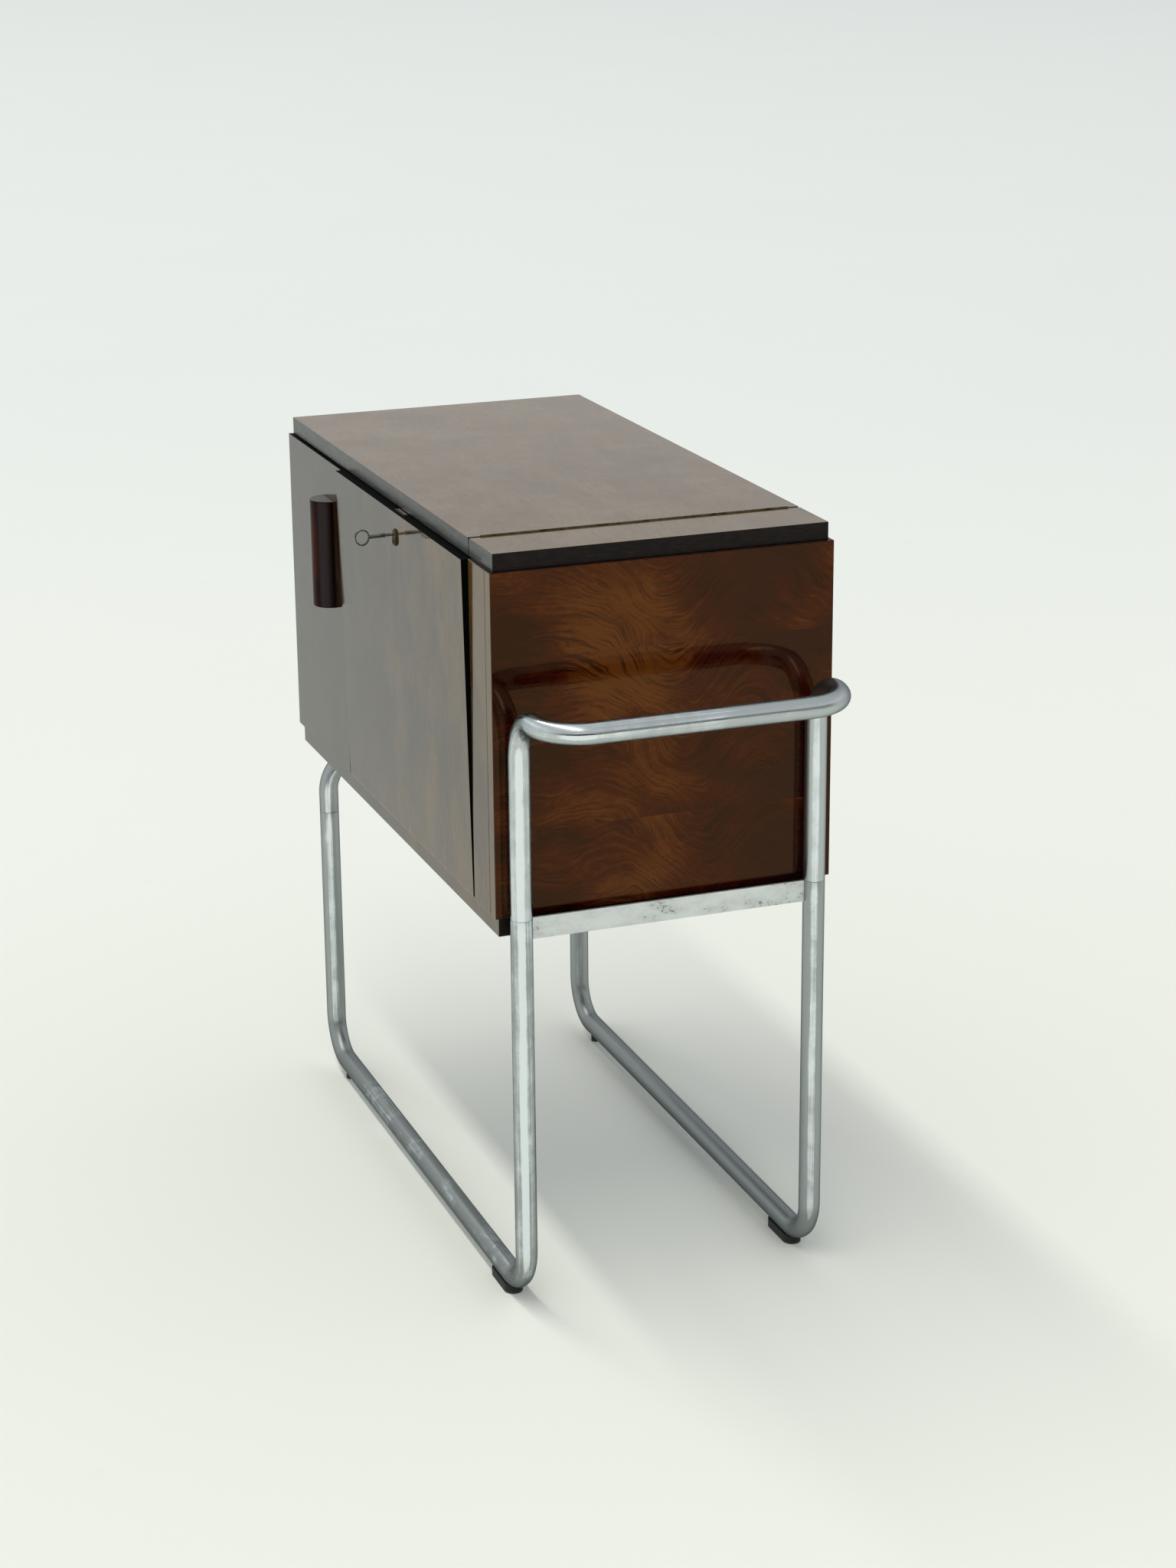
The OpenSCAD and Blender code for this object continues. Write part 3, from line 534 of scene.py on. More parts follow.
@dataclass(frozen=True)
class Lining:
    """Plain satin wood inside the carcass."""

    name: str
    lie: Lie = Lie.END
    dark: Colour = (0.235, 0.120, 0.048)
    light: Colour = (0.36, 0.205, 0.090)

    def material(self) -> bpy.types.Material:
        """Makes the finish.

        Returns:
            The material: grain from bent level lines, clouds and pores.
        """
        n = Nodes(bpy.data.materials.new(self.name))
        s, t = self.lie.of(n.place())
        bend = n.noise(s * 2.2, t * 5.0, 1.0, 2.0, 0.5) - 0.5
        level = t + bend * 0.045
        grain = n.noise(s * 5.0, level * 150.0, 2.0, 5.0, 0.68)
        pores = n.noise(s * 200.0, level * 2400.0, 5.0, 1.0, 0.5).ramp(0.58, 0.74)
        cloud = n.noise(s * 6.0, t * 12.0, 8.0, 3.0, 0.5)
        colour = n.colours(grain * 0.7 + cloud * 0.3, [(0.3, self.dark), (0.7, self.light)])
        colour = n.mix(pores * 0.5, colour, darker(self.dark, 0.4))
        return n.finish({"Base Color": colour, "Roughness": 0.36 + grain * 0.14}, {"IOR": 1.45},
                        grain - pores * 0.4, 0.0003, 0.3)


@dataclass(frozen=True)
class PlatedTube:
    """Worn plating on the tubes: streaks along the length, dull patches, pits and brown specks.

    Painted shade dulls it to the rear, to the left and near the floor, where it also has more pits;
    a painted highlight brightens the side that looks right and to the front.
    """

    name: str
    bright: Colour = (0.78, 0.84, 0.88)
    dull: Colour = (0.30, 0.325, 0.325)
    edge: Colour = (0.18, 0.185, 0.20)
    rough: float = 0.14
    # How strongly the dulling shows: wear, painted shade and the painted highlight together
    worn: float = 1.0
    brown: Colour = (0.10, 0.065, 0.04)
    painted_highlight_way: Way = (0.938, -0.347, 0.0)

    def material(self) -> bpy.types.Material:
        """Makes the finish.

        Returns:
            The material: plating that is dulled in streaks and patches, with pits, painted shade
                and a painted highlight band.
        """
        n = Nodes(bpy.data.materials.new(self.name))
        x, y, z = n.place()
        turn, run = n.along()
        angle = turn * (2 * math.pi)
        round_x, round_y = angle.sin(), (angle + QUARTER_TURN).sin()
        streak = n.noise(round_x * 7.0, round_y * 7.0, run * 5.0, 4.0, 0.65)
        patch = n.noise(x * 22.0, y * 22.0, z * 22.0, 5.0, 0.65, 0.4)
        fine = n.noise(round_x * 24.0, round_y * 24.0, run * 60.0, 3.0, 0.6)
        # Painted shade near the floor, where the pits also gather
        low = z.ramp(0.075, 0.030)
        # Painted highlight: a brighter band on the side that looks right and to the front
        painted_highlight = n.facing(self.painted_highlight_way, 0.91, 0.99)
        pits = n.noise(x * 420.0, y * 420.0, z * 300.0, 2.0, 0.6).ramp(0.70, 0.76)
        clusters = patch.ramp(0.56, 0.70)
        spots = (pits * (clusters + low * 0.9)).under(1.0)
        # Painted shade: duller towards the rear and towards the left
        side = y.ramp(0.02, 0.15) * 0.15 + x.ramp(-0.2, -0.38) * 0.12
        dulled = ((streak * 0.6 + patch * 0.5 + side - painted_highlight * 0.26).ramp(0.36, 0.62) * 0.85
                  + low * (patch.ramp(0.30, 0.62) * 0.30 + 0.25)).under(1.0)
        colour = n.mix(dulled * self.worn, self.bright, self.dull)
        colour = n.mix(spots * 0.8, colour, self.brown)
        rough = self.rough + dulled * 0.24 + fine * 0.10 + spots * 0.3
        return n.finish(
            {"Base Color": colour, "Roughness": rough, "Metallic": 1.0 - spots * 0.7},
            {"Specular Tint": (*self.edge, 1.0)}, patch + fine * 0.15 - spots * 0.15, 0.0006, 0.25)


@dataclass(frozen=True)
class BareSteel:
    """Dull bar steel with brown stains and scratches."""

    name: str
    colour: Colour = (0.76, 0.79, 0.80)
    stain: Colour = (0.13, 0.085, 0.05)
    rough: float = 0.40
    metallic: float = 0.85

    def material(self) -> bpy.types.Material:
        """Makes the finish.

        Returns:
            The material: clouded steel with drawn scratches and stains.
        """
        n = Nodes(bpy.data.materials.new(self.name))
        x, y, z = n.place()
        cloud = n.noise(x * 26.0, y * 26.0, z * 60.0, 5.0, 0.65)
        speck = n.noise(x * 200.0, y * 200.0, z * 320.0, 4.0, 0.7)
        drawn = n.noise(x * 8.0, y * 8.0, z * 900.0, 2.0, 0.6)
        stained = (cloud.ramp(0.52, 0.66) * speck.ramp(0.50, 0.62)).under(1.0)
        tone = n.mix(cloud.ramp(0.35, 0.7) * 0.5, self.colour, darker(self.colour, 0.62))
        colour = n.mix(stained * 0.8, tone, self.stain)
        rough = self.rough + stained * 0.3 + drawn * 0.1
        return n.finish(
            {"Base Color": colour, "Roughness": rough, "Metallic": self.metallic - stained * 0.5},
            {}, drawn * 0.3 + cloud, 0.0003, 0.3)


@dataclass(frozen=True)
class SmallMetal:
    """Small fittings: brass or nickel, browned in patches."""

    name: str
    colour: Colour
    tarnish: Colour
    rough: float = 0.28
    amount: float = 0.8

    def material(self) -> bpy.types.Material:
        """Makes the finish.

        Returns:
            The material: metal with tarnish in patches and specks.
        """
        n = Nodes(bpy.data.materials.new(self.name))
        x, y, z = n.place()
        cloud = n.noise(x * 90.0, y * 90.0, z * 90.0, 4.0, 0.6)
        speck = n.noise(x * 900.0, y * 900.0, z * 900.0, 2.0, 0.6)
        dulled = (cloud * 0.7 + speck * 0.35).ramp(0.42, 0.70)
        colour = n.mix(dulled * self.amount, self.colour, self.tarnish)
        return n.finish({"Base Color": colour, "Roughness": self.rough + dulled * 0.25},
                        {"Metallic": 1.0}, speck, 0.00005, 0.3)


@dataclass(frozen=True)
class PadRubber:
    """Black pads and glides, dusty at the floor."""

    name: str
    colour: Colour = (0.012, 0.013, 0.014)
    dusty: Colour = (0.16, 0.15, 0.13)

    def material(self) -> bpy.types.Material:
        """Makes the finish.

        Returns:
            The material: grained rubber with dust below.
        """
        n = Nodes(bpy.data.materials.new(self.name))
        x, y, z = n.place()
        grain = n.noise(x * 500.0, y * 500.0, z * 500.0, 3.0, 0.6)
        dust = z.ramp(0.004, 0.0) * grain
        colour = n.mix(dust * 0.5, self.colour, self.dusty)
        return n.finish({"Base Color": colour, "Roughness": 0.6 + grain * 0.2}, {"IOR": 1.45},
                        grain, 0.0002, 0.3)


@dataclass(frozen=True)
class StudioFloor:
    """Pale painted floor with faint scuffs, under a painted falloff of light: darker and cooler
    away from the camera.
    """

    name: str = "studio_floor"
    near: Colour = (0.865, 0.880, 0.835)
    far: Colour = (0.800, 0.820, 0.825)
    scuffed: Colour = (0.45, 0.45, 0.42)

    def material(self) -> bpy.types.Material:
        """Makes the finish.

        Returns:
            The material: paint with clouds, scuffs and spots, darkened by the painted falloff of
                light.
        """
        n = Nodes(bpy.data.materials.new(self.name))
        x, y, z = n.place()
        cloud = n.noise(x * 1.1, y * 1.1, z, 4.0, 0.55)
        scuff = n.noise(x * 7.0, y * 5.0, z, 5.0, 0.7).ramp(0.62, 0.80)
        spot = n.noise(x * 55.0, y * 55.0, z, 2.0, 0.6).ramp(0.76, 0.80)
        shade = cloud * 0.05 + scuff * 0.05 + spot * 0.18
        # Painted falloff of light: the floor darkens and cools away from the camera
        paint = n.mix((y * 0.35 - x * 0.94).ramp(-1.0, 6.0), self.near, self.far)
        colour = n.mix(shade, paint, self.scuffed)
        return n.finish({"Base Color": colour}, {"Roughness": 0.9, "Specular IOR Level": 0.0})


class Finishes:
    """All of the object's materials, made once."""

    def __init__(self) -> None:
        """Makes each finish."""
        walnut = dict(dark=(0.014, 0.0012, 0.0005), middle=(0.048, 0.0058, 0.0012),
                      light=(0.110, 0.0300, 0.0050))
        faded = dict(dark=(0.018, 0.0078, 0.0030), middle=(0.030, 0.0150, 0.0055),
                     light=(0.092, 0.048, 0.0110))
        bleached = dict(dark=(0.068, 0.033, 0.009), middle=(0.108, 0.057, 0.014),
                        light=(0.155, 0.088, 0.028))
        self.end = Veneer("end_veneer", Lie.END, **walnut, ior=1.46, rough=0.045,
                          fade=0.012, spread=0.10, glow=0.12, ink=0.7, age=0.85,
                          varnish=(0.88, 0.50, 0.25)).material()
        self.front = Veneer("front_veneer", Lie.FRONT, **faded, leaf=0.118, start=-0.4607,
                            centre=0.30, width=0.3, arch=0.0, slant=0.0, swirl=0.035, ior=1.41,
                            rough=0.075, haze=0.026, seed=11.0, fade=0.036, fade_from=3.2,
                            spread=0.12, patchy=0.4, mottled=0.25, ink=0.3).material()
        self.top = Veneer("top_veneer", Lie.TOP, **bleached, leaf=0.195, start=-0.1672,
                          centre=-0.05, width=0.15, arch=0.02, slant=0.1, swirl=0.05, ior=1.32,
                          rough=0.12, haze=0.055, seed=23.0, spread=0.13, patchy=0.35,
                          mottled=0.30, ink=0.25).material()
        self.lipping = Lipping("dark_lipping").material()
        # Painted shade: a near-black, barely glossy lipping for edges that face into narrow gaps
        self.gap_shade = Lipping("gap_shade_lipping", (0.0015, 0.002, 0.002), (0.004, 0.004, 0.004),
                             rough=0.6, ior=1.08).material()
        self.edge = Lipping("front_lipping", (0.030, 0.032, 0.032), (0.11, 0.115, 0.11),
                            rough=0.30, ior=1.35).material()
        self.handle = TurnedWood("handle_wood").material()
        self.lining = Lining("lining_side").material()
        self.lining_back = Lining("lining_back", Lie.FRONT).material()
        self.lining_flat = Lining("lining_flat", Lie.TOP).material()
        self.tube = PlatedTube("tube_plating").material()
        self.rail = PlatedTube("rail_plating", rough=0.06, worn=0.75).material()
        self.angle = BareSteel("angle_steel").material()
        self.screw = BareSteel("screw_steel", (0.42, 0.41, 0.39), metallic=1.0).material()
        self.nickel = SmallMetal("worn_nickel", (0.60, 0.58, 0.54), (0.16, 0.13, 0.10)).material()
        self.key = SmallMetal("key_nickel", (0.20, 0.21, 0.17), (0.018, 0.020, 0.014),
                              rough=0.24, amount=0.9).material()
        self.brass = SmallMetal("old_brass", (0.42, 0.28, 0.11), (0.075, 0.045, 0.02)).material()
        self.plate = SmallMetal("dark_brass", (0.085, 0.075, 0.045), (0.008, 0.009, 0.006),
                                rough=0.35, amount=0.9).material()
        self.pad = PadRubber("pad_rubber").material()


# Meshes


@dataclass
class Shell:
    """Points, faces in blocks of equal size, each face's finish, and each face corner's map."""

    points: np.ndarray
    faces: list[np.ndarray]
    finish: list[np.ndarray]
    uv: list[np.ndarray]

    @staticmethod
    def join(shells: Sequence["Shell"]) -> "Shell":
        """Puts several shells into one.

        Args:
            shells: the shells.
        Returns:
            One shell, where each one's faces are numbered on after those before it.
        """
        starts = np.cumsum([0] + [len(s.points) for s in shells[:-1]])
        return Shell(
            np.concatenate([s.points for s in shells]),
            [block + start for s, start in zip(shells, starts) for block in s.faces],
            [block for s in shells for block in s.finish],
            [block for s in shells for block in s.uv])

    def mesh(self, name: str, finishes: Sequence[bpy.types.Material],
             smooth: float = 0.0) -> bpy.types.Object:
        """Makes the object.

        Args:
            name: the piece's name.
            finishes: its materials, by number.
            smooth: angle in degrees under which faces shade as one, or 0 for flat faces.
        Returns:
            The object, at the origin, with its doubles merged and its faces pointing outwards.
        """
        mesh = bpy.data.meshes.new(name)
        faces = [face for block in self.faces for face in block.tolist()]
        mesh.from_pydata(self.points.tolist(), [], faces)
        for material in finishes:
            mesh.materials.append(material)
        mesh.polygons.foreach_set("material_index", np.concatenate(self.finish).astype(np.int32))
        layer = mesh.uv_layers.new(name=UV_MAP)
        corners = np.concatenate([block.reshape(-1, 2) for block in self.uv])
        layer.data.foreach_set("uv", corners.ravel().astype(np.float32))
        tidy = bmesh.new()
        tidy.from_mesh(mesh)
        bmesh.ops.remove_doubles(tidy, verts=tidy.verts, dist=MERGE_DISTANCE)
        bmesh.ops.dissolve_degenerate(tidy, edges=tidy.edges, dist=SHORTEST_EDGE)
        bmesh.ops.recalc_face_normals(tidy, faces=tidy.faces)
        tidy.to_mesh(mesh)
        tidy.free()
        if smooth:
            mesh.polygons.foreach_set("use_smooth", np.ones(len(mesh.polygons), bool))
            mesh.set_sharp_from_angle(angle=math.radians(smooth))
        return add_object(name, mesh)


def lattice(grid: np.ndarray, closed: bool = True, uv: Optional[np.ndarray] = None) -> Shell:
    """Joins a grid of points into four-sided faces.

    Args:
        grid: rows by columns by 3.
        closed: whether the last column joins the first.
        uv: rows by columns by 2, with one more column than the grid where it is closed.
    Returns:
        The shell: each face joins two neighbours of one row to the two above them.
    """
    rows, cols = grid.shape[:2]
    i, j = np.meshgrid(np.arange(rows - 1), np.arange(cols if closed else cols - 1), indexing="ij")
    k = (j + 1) % cols
    faces = np.stack([i * cols + j, i * cols + k, (i + 1) * cols + k, (i + 1) * cols + j], -1)
    faces = faces.reshape(-1, 4)
    if uv is None:
        u, v = np.meshgrid(np.linspace(0, 1, rows), np.linspace(0, 1, cols + 1), indexing="ij")
        uv = np.stack([v, u], -1)
    corner = np.stack([uv[i, j], uv[i, j + 1], uv[i + 1, j + 1], uv[i + 1, j]], -2)
    return Shell(
        grid.reshape(-1, 3), [faces], [np.zeros(len(faces), int)], [corner.reshape(-1, 4, 2)])


def lid_on(ring: np.ndarray, finish: int = 0) -> Shell:
    """Closes a ring of points with one flat face."""
    face = np.arange(len(ring))[None, :]
    return Shell(ring, [face], [np.array([finish])], [np.zeros((1, len(ring), 2))])


def side_numbers(normals: np.ndarray) -> np.ndarray:
    """Numbers faces 0 to 5 for -x, +x, -y, +y, -z and +z, by the side that they face.

    Args:
        normals: one row for each face.
    Returns:
        Twice the axis of the normal's largest part, plus one where that part is above zero.
    """
    axis = np.abs(normals).argmax(1)
    return 2 * axis + (np.take_along_axis(normals, axis[:, None], 1)[:, 0] > 0)


def eased_box(low: np.ndarray, high: np.ndarray, ease: float, steps: int = 3) -> Shell:
    """A board with rounded edges and corners.

    Args:
        low: its lowest corner.
        high: its highest corner.
        ease: the radius of its edges.
        steps: faces across a rounded edge.
    Returns:
        The shell. A direction runs round the upright axis and from pole to pole, and each point is
        the shrunk box's corner in that direction's octant plus the radius times the direction.
        Its finishes are the faces' side numbers.
    """
    low, high = np.asarray(low, float), np.asarray(high, float)
    middle, half = (low + high) / 2, (high - low) / 2 - ease
    arc = np.linspace(0, math.pi / 2, steps + 1)
    turn = np.concatenate([arc + q * math.pi / 2 for q in range(4)])
    sign_x = np.repeat([1, -1, -1, 1], steps + 1)
    sign_y = np.repeat([1, 1, -1, -1], steps + 1)
    rise = np.concatenate([arc - math.pi / 2, arc])
    sign_z = np.repeat([-1, 1], steps + 1)
    level = np.cos(rise)[:, None]
    way = np.stack(np.broadcast_arrays(
        level * np.cos(turn), level * np.sin(turn), np.sin(rise)[:, None]), -1)
    sign = np.stack(np.broadcast_arrays(sign_x[None, :], sign_y[None, :], sign_z[:, None]), -1)
    grid = middle + sign * half + ease * way
    shell = lattice(grid)
    shell.finish = [side_numbers(way.reshape(-1, 3)[shell.faces[0]].mean(1))]
    under, over = lid_on(grid[0], 4), lid_on(grid[-1], 5)
    return Shell.join([shell, under, over])


@dataclass
class TubeRun:
    """A tube that is led from move to move, each a straight length or a bend.

    Inside a move the section's frame is turned about the bend's axis by the angle reached, and
    each ring's point is the path's point plus the frame times the section. In a bend both radii
    are less by a share: draw_in times the sine of pi times the share of the way, where the sine
    is raised to the power onset. Sizes are in mm.
    """

    start: np.ndarray
    heading: np.ndarray
    side: np.ndarray
    radius: float = 12.5
    wall: float = 2.0
    around: int = 48
    step: float = 25.0
    draw_in: float = 0.035
    onset: float = 0.7
    points: list[np.ndarray] = field(default_factory=list)
    frames: list[np.ndarray] = field(default_factory=list)
    lengths: list[np.ndarray] = field(default_factory=list)
    squeeze: list[np.ndarray] = field(default_factory=list)
    reached: float = 0.0

    def __post_init__(self) -> None:
        """Sets the first frame: side, the third axis, and the heading."""
        self.here = np.asarray(self.start, float)
        h, s = np.asarray(self.heading, float), np.asarray(self.side, float)
        self.axes = np.stack([s, np.cross(h, s), h], 1)

    def _keep(self, points: np.ndarray, frames: np.ndarray, length: float,
              squeeze: np.ndarray) -> None:
        """Stores one move's rings and goes on from its end.

        Args:
            points: the middle line's points.
            frames: the section's frame at each.
            length: the move's length.
            squeeze: how far each ring is drawn in, from 0 to 1.
        """
        share = np.linspace(0, 1, len(points))
        self.points.append(points)
        self.frames.append(frames)
        self.lengths.append(self.reached + share * length)
        self.squeeze.append(squeeze)
        self.reached += length
        self.here, self.axes = points[-1], frames[-1]

    def straight(self, length: float) -> "TubeRun":
        """Leads the tube straight on.

        Args:
            length: how far.
        Returns:
            The run itself.
        """
        count = max(2, int(length / self.step) + 1)
        share = np.linspace(0, length, count)[:, None]
        points = self.here + share * self.axes[:, 2]
        self._keep(points, np.repeat(self.axes[None], count, 0), length, np.zeros(count))
        return self

    def bend(self, axis: Sequence[float], angle: float, radius: float,
             count: int = 25) -> "TubeRun":
        """Bends the tube.

        The turn by an angle is the identity, plus the axis's cross matrix times the sine, plus
        that matrix squared times the difference of one and the cosine.

        Args:
            axis: unit vector that the bend turns about.
            angle: angle in degrees.
            radius: radius of the tube's middle line.
            count: number of rings.
        Returns:
            The run itself.
        """
        k = np.asarray(axis, float)
        centre = self.here + radius * np.cross(k, self.axes[:, 2])
        share = np.linspace(0, 1, count)
        theta = math.radians(angle) * share
        cross = np.array([[0, -k[2], k[1]], [k[2], 0, -k[0]], [-k[1], k[0], 0]])
        turn = (np.eye(3) + np.sin(theta)[:, None, None] * cross
                + (1 - np.cos(theta))[:, None, None] * (cross @ cross))
        points = centre + turn @ (self.here - centre)
        squeeze = np.sin(math.pi * share) ** self.onset
        self._keep(points, turn @ self.axes, math.radians(angle) * radius, squeeze)
        return self

    def shell(self, ease: float = 0.5) -> Shell:
        """Makes the tube's outer and inner walls and its two eased end rims.

        The outer radius falls by a quarter round towards each end.

        Args:
            ease: how much the outer edge is rounded at the two ends.
        Returns:
            The closed shell; the map runs once round and in metres along.
        """
        points, frames = np.concatenate(self.points), np.concatenate(self.frames)
        lengths, squeeze = np.concatenate(self.lengths), np.concatenate(self.squeeze)
        angle = np.linspace(0, 2 * math.pi, self.around, endpoint=False)
        outline = np.stack([np.cos(angle), np.sin(angle)], -1)
        head, tail = frames[0][:, 2], frames[-1][:, 2]
        lead = np.array([0.0, 0.15, 0.5, 1.0]) * ease
        drop = quarter_round(lead, ease)
        count = len(lead)
        rings_r = np.concatenate([self.radius - drop, np.full(len(points) - 2, self.radius),
                                  (self.radius - drop)[::-1]])
        rings_p = np.concatenate([points[0] + lead[:, None] * head, points[1:-1],
                                  points[-1] - lead[::-1, None] * tail])
        rings_f = np.concatenate([np.repeat(frames[:1], count, 0), frames[1:-1],
                                  np.repeat(frames[-1:], count, 0)])
        rings_s = np.concatenate([np.zeros(count), squeeze[1:-1], np.zeros(count)])
        rings_l = np.concatenate([lengths[0] + lead, lengths[1:-1], lengths[-1] - lead[::-1]])
        size = rings_r[:, None, None] * (1 - self.draw_in * rings_s[:, None, None])
        outer = rings_p[:, None] + np.einsum("rij,rcj->rci", rings_f[:, :, :2], size * outline)
        bore = (self.radius - self.wall) * (1 - self.draw_in * squeeze[:, None, None])
        inner = points[:, None] + np.einsum("rij,rcj->rci", frames[:, :, :2], bore * outline)
        share = np.linspace(0, 1, self.around + 1)
        uv = np.stack(np.broadcast_arrays(share[None, :], rings_l[:, None] * MM), -1)
        uv_in = np.stack(np.broadcast_arrays(share[None, :], lengths[:, None] * MM), -1)
        walls = [lattice(at(outer), uv=uv), lattice(at(inner[::-1]), uv=uv_in[::-1])]
        rims = [lattice(at(np.stack([inner[0], outer[0]]))),
                lattice(at(np.stack([outer[-1], inner[-1]])))]
        return Shell.join(walls + rims)


def eased_copy(node: str, name: str, ease: float, finishes: Sequence[bpy.types.Material],
               sides: Optional[Sequence[int]] = None) -> bpy.types.Object:
    """A CAD node's form with its sharp edges eased.

    Args:
        node: the CAD node.
        name: the piece's name.
        ease: width of the easing, in metres.
        finishes: the piece's materials.
        sides: the finish of faces that look to -x, +x, -y, +y, -z and +z, in that order.
    Returns:
        The piece: a copy whose doubles are merged and whose flat parts are joined, with a bevel.
    """
    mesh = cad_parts[node].data.copy()
    mesh.name = name
    form = bmesh.new()
    form.from_mesh(mesh)
    bmesh.ops.remove_doubles(form, verts=form.verts, dist=MERGE_DISTANCE)
    bmesh.ops.dissolve_limit(
        form, angle_limit=math.radians(FLAT_ANGLE), verts=form.verts, edges=form.edges)
    form.to_mesh(mesh)
    form.free()
    mesh.materials.clear()
    for material in finishes:
        mesh.materials.append(material)
    numbers = np.zeros(len(mesh.polygons), np.int32)
    if sides is not None:
        normals = np.zeros(len(mesh.polygons) * 3, np.float32)
        mesh.polygons.foreach_get("normal", normals)
        numbers = np.asarray(sides)[side_numbers(normals.reshape(-1, 3))].astype(np.int32)
    mesh.polygons.foreach_set("material_index", numbers)
    obj = add_object(name, mesh)
    bevel = obj.modifiers.new("ease", "BEVEL")
    bevel.width = ease
    bevel.segments = EASE_SEGMENTS
    bevel.limit_method = "ANGLE"
    bevel.angle_limit = math.radians(EASED_ANGLE)
    bevel.harden_normals = False
    return obj


def settle(piece: bpy.types.Object, body: str, slot: str, *nodes: str) -> bpy.types.Object:
    """Hands a finished piece over.

    Args:
        piece: the piece, in place.
        body: the body that it moves with.
        slot: not used.
        nodes: the CAD nodes that it stands for.
    Returns:
        The piece.
    """
    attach(piece, body)
    if nodes:
        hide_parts(*nodes)
    LOG.info("%s rides on %s and stands for %s", piece.name, body, ", ".join(nodes) or "nothing")
    return piece


def paint(material: bpy.types.Material, *nodes: str) -> None:
    """Gives carried-over CAD nodes their finish.

    Args:
        material: the finish.
        nodes: the nodes' names.
    """
    for name in nodes:
        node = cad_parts[name]
        node.data.materials.clear()
        node.data.materials.append(material)
        LOG.info("%s keeps its form and takes %s", name, material.name)


# Sub-assemblies


@dataclass
class Board:
    """One plain board with eased edges, made from a CAD node's box."""

    node: str
    body: str
    slot: str
    finishes: tuple[bpy.types.Material, ...]
    sides: tuple[int, int, int, int, int, int]
    ease: float = 0.0008

    def build(self) -> bpy.types.Object:
        """Makes the board in place of its node.

        Returns:
            The piece.
        """
        low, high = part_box(self.node)
        shell = eased_box(np.array(low), np.array(high), self.ease)
        shell.finish = [np.asarray(self.sides)[block] for block in shell.finish]
        piece = shell.mesh(self.node + "_board", self.finishes)
        return settle(piece, self.body, self.slot, self.node)


@dataclass
class Carcass:
    """The veneered box: ends, back, base, partitions, stile and shelf."""

    finishes: Finishes
    ease: float = 0.0009
    base_ease: float = 0.0007
    partition_ease: float = 0.0005

    def build(self) -> None:
        """Makes every board of the box."""
        f = self.finishes
        Board("right_end_panel", "carcass", "walnut", (f.end, f.lipping, f.front, f.lining),
              (3, 0, 2, 1, 1, 1), self.ease).build()
        # Painted shade: the stile's left edge, beside the flap, is near black
        Board("front_stile", "carcass", "walnut", (f.front, f.lipping, f.gap_shade),
              (2, 1, 0, 1, 1, 1), self.ease).build()
        Board("right_partition", "carcass", "lining", (f.lining, f.lipping),
              (0, 0, 1, 0, 0, 0)).build()
        Board("back_panel", "carcass", "lining", (f.lining_back, f.lipping),
              (1, 1, 0, 0, 1, 1)).build()
        Board("shelf", "carcass", "lining", (f.lining_flat, f.lipping), (0, 0, 1, 0, 0, 0)).build()
        self.cut_boards()
        paint(f.brass, "shelf_pins", "catch_strike")

    def cut_boards(self) -> None:
        """Makes the boards that have bores, grooves or recesses."""
        f = self.finishes
        settle(eased_copy("left_end_panel", "left_end_panel_board", self.ease,
                          (f.end, f.lipping, f.lining), (0, 2, 1, 1, 1, 1)),
               "carcass", "walnut", "left_end_panel")
        settle(eased_copy("left_partition", "left_partition_board", self.partition_ease,
                          (f.lining, f.lipping), (0, 0, 1, 0, 0, 0)),
               "carcass", "lining", "left_partition")
        settle(eased_copy("base_board", "base_board_panel", self.base_ease,
                          (f.front, f.lipping, f.lining_flat), (1, 1, 0, 1, 1, 2)),
               "carcass", "walnut", "base_board")


@dataclass
class Lid:
    """The lid's leaf, its fixed strip, its long hinge and its stay."""

    finishes: Finishes
    ease: float = 0.0009

    def build(self) -> None:
        """Makes the lid's pieces."""
        f = self.finishes
        settle(eased_copy("lid_leaf", "lid_leaf_board", self.ease,
                          (f.top, f.lipping, f.edge, f.lining_flat), (1, 1, 2, 2, 3, 0)),
               "lid", "walnut", "lid_leaf")
        settle(eased_copy("lid_fixed_strip", "lid_strip_board", self.ease,
                          (f.top, f.lipping, f.edge, f.lining_flat), (1, 1, 2, 2, 3, 0)),
               "carcass", "walnut", "lid_fixed_strip")
        # Painted shade: the lock keeper takes the dark brass for the dark slot under the lid that
        # it sits in
        paint(f.plate, "lid_hinge_fixed", "lid_hinge_moving", "lock_keeper")
        paint(f.nickel, "lid_hinge_pin", "lid_stay_stud", "lid_stay", "lid_stay_bracket")


@dataclass
class Handle:
    """The side door's half-round wooden handle."""

    finishes: Finishes
    ease: float = 0.0015
    end_band: float = 0.008
    rows: int = 12
    around: int = 65
    smooth: float = 35.0

    def build(self) -> None:
        """Makes the handle: half rings on the door's face, drawn in at the two ends.

        At each height, x is the middle plus the half width times the cosine, and y the door's
        face plus the depth times the sine, over the half turn that lies in front of the door.
        """
        low, high = (np.array(corner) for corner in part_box("door_handle"))
        angle = np.linspace(-math.pi, 0.0, self.around)
        lead = np.array([0.0, 0.08, 0.3, 0.62, 1.0]) * self.ease
        drop = quarter_round(lead, self.ease)
        between = np.linspace(low[2] + self.end_band, high[2] - self.end_band, self.rows)
        height = np.concatenate([low[2] + lead, between, high[2] - lead[::-1]])
        shrink = np.concatenate([drop, np.zeros(self.rows), drop[::-1]])[:, None]
        x = (low[0] + high[0]) / 2 + ((high[0] - low[0]) / 2 - shrink) * np.cos(angle)
        y = high[1] + (high[1] - low[1] - shrink) * np.sin(angle)
        grid = np.stack([x, y, height[:, None] + 0 * x], -1)
        shell = Shell.join([lattice(grid), lid_on(grid[0]), lid_on(grid[-1])])
        piece = shell.mesh("door_handle_turning", [self.finishes.handle], self.smooth)
        settle(piece, "door", "dark_wood", "door_handle")


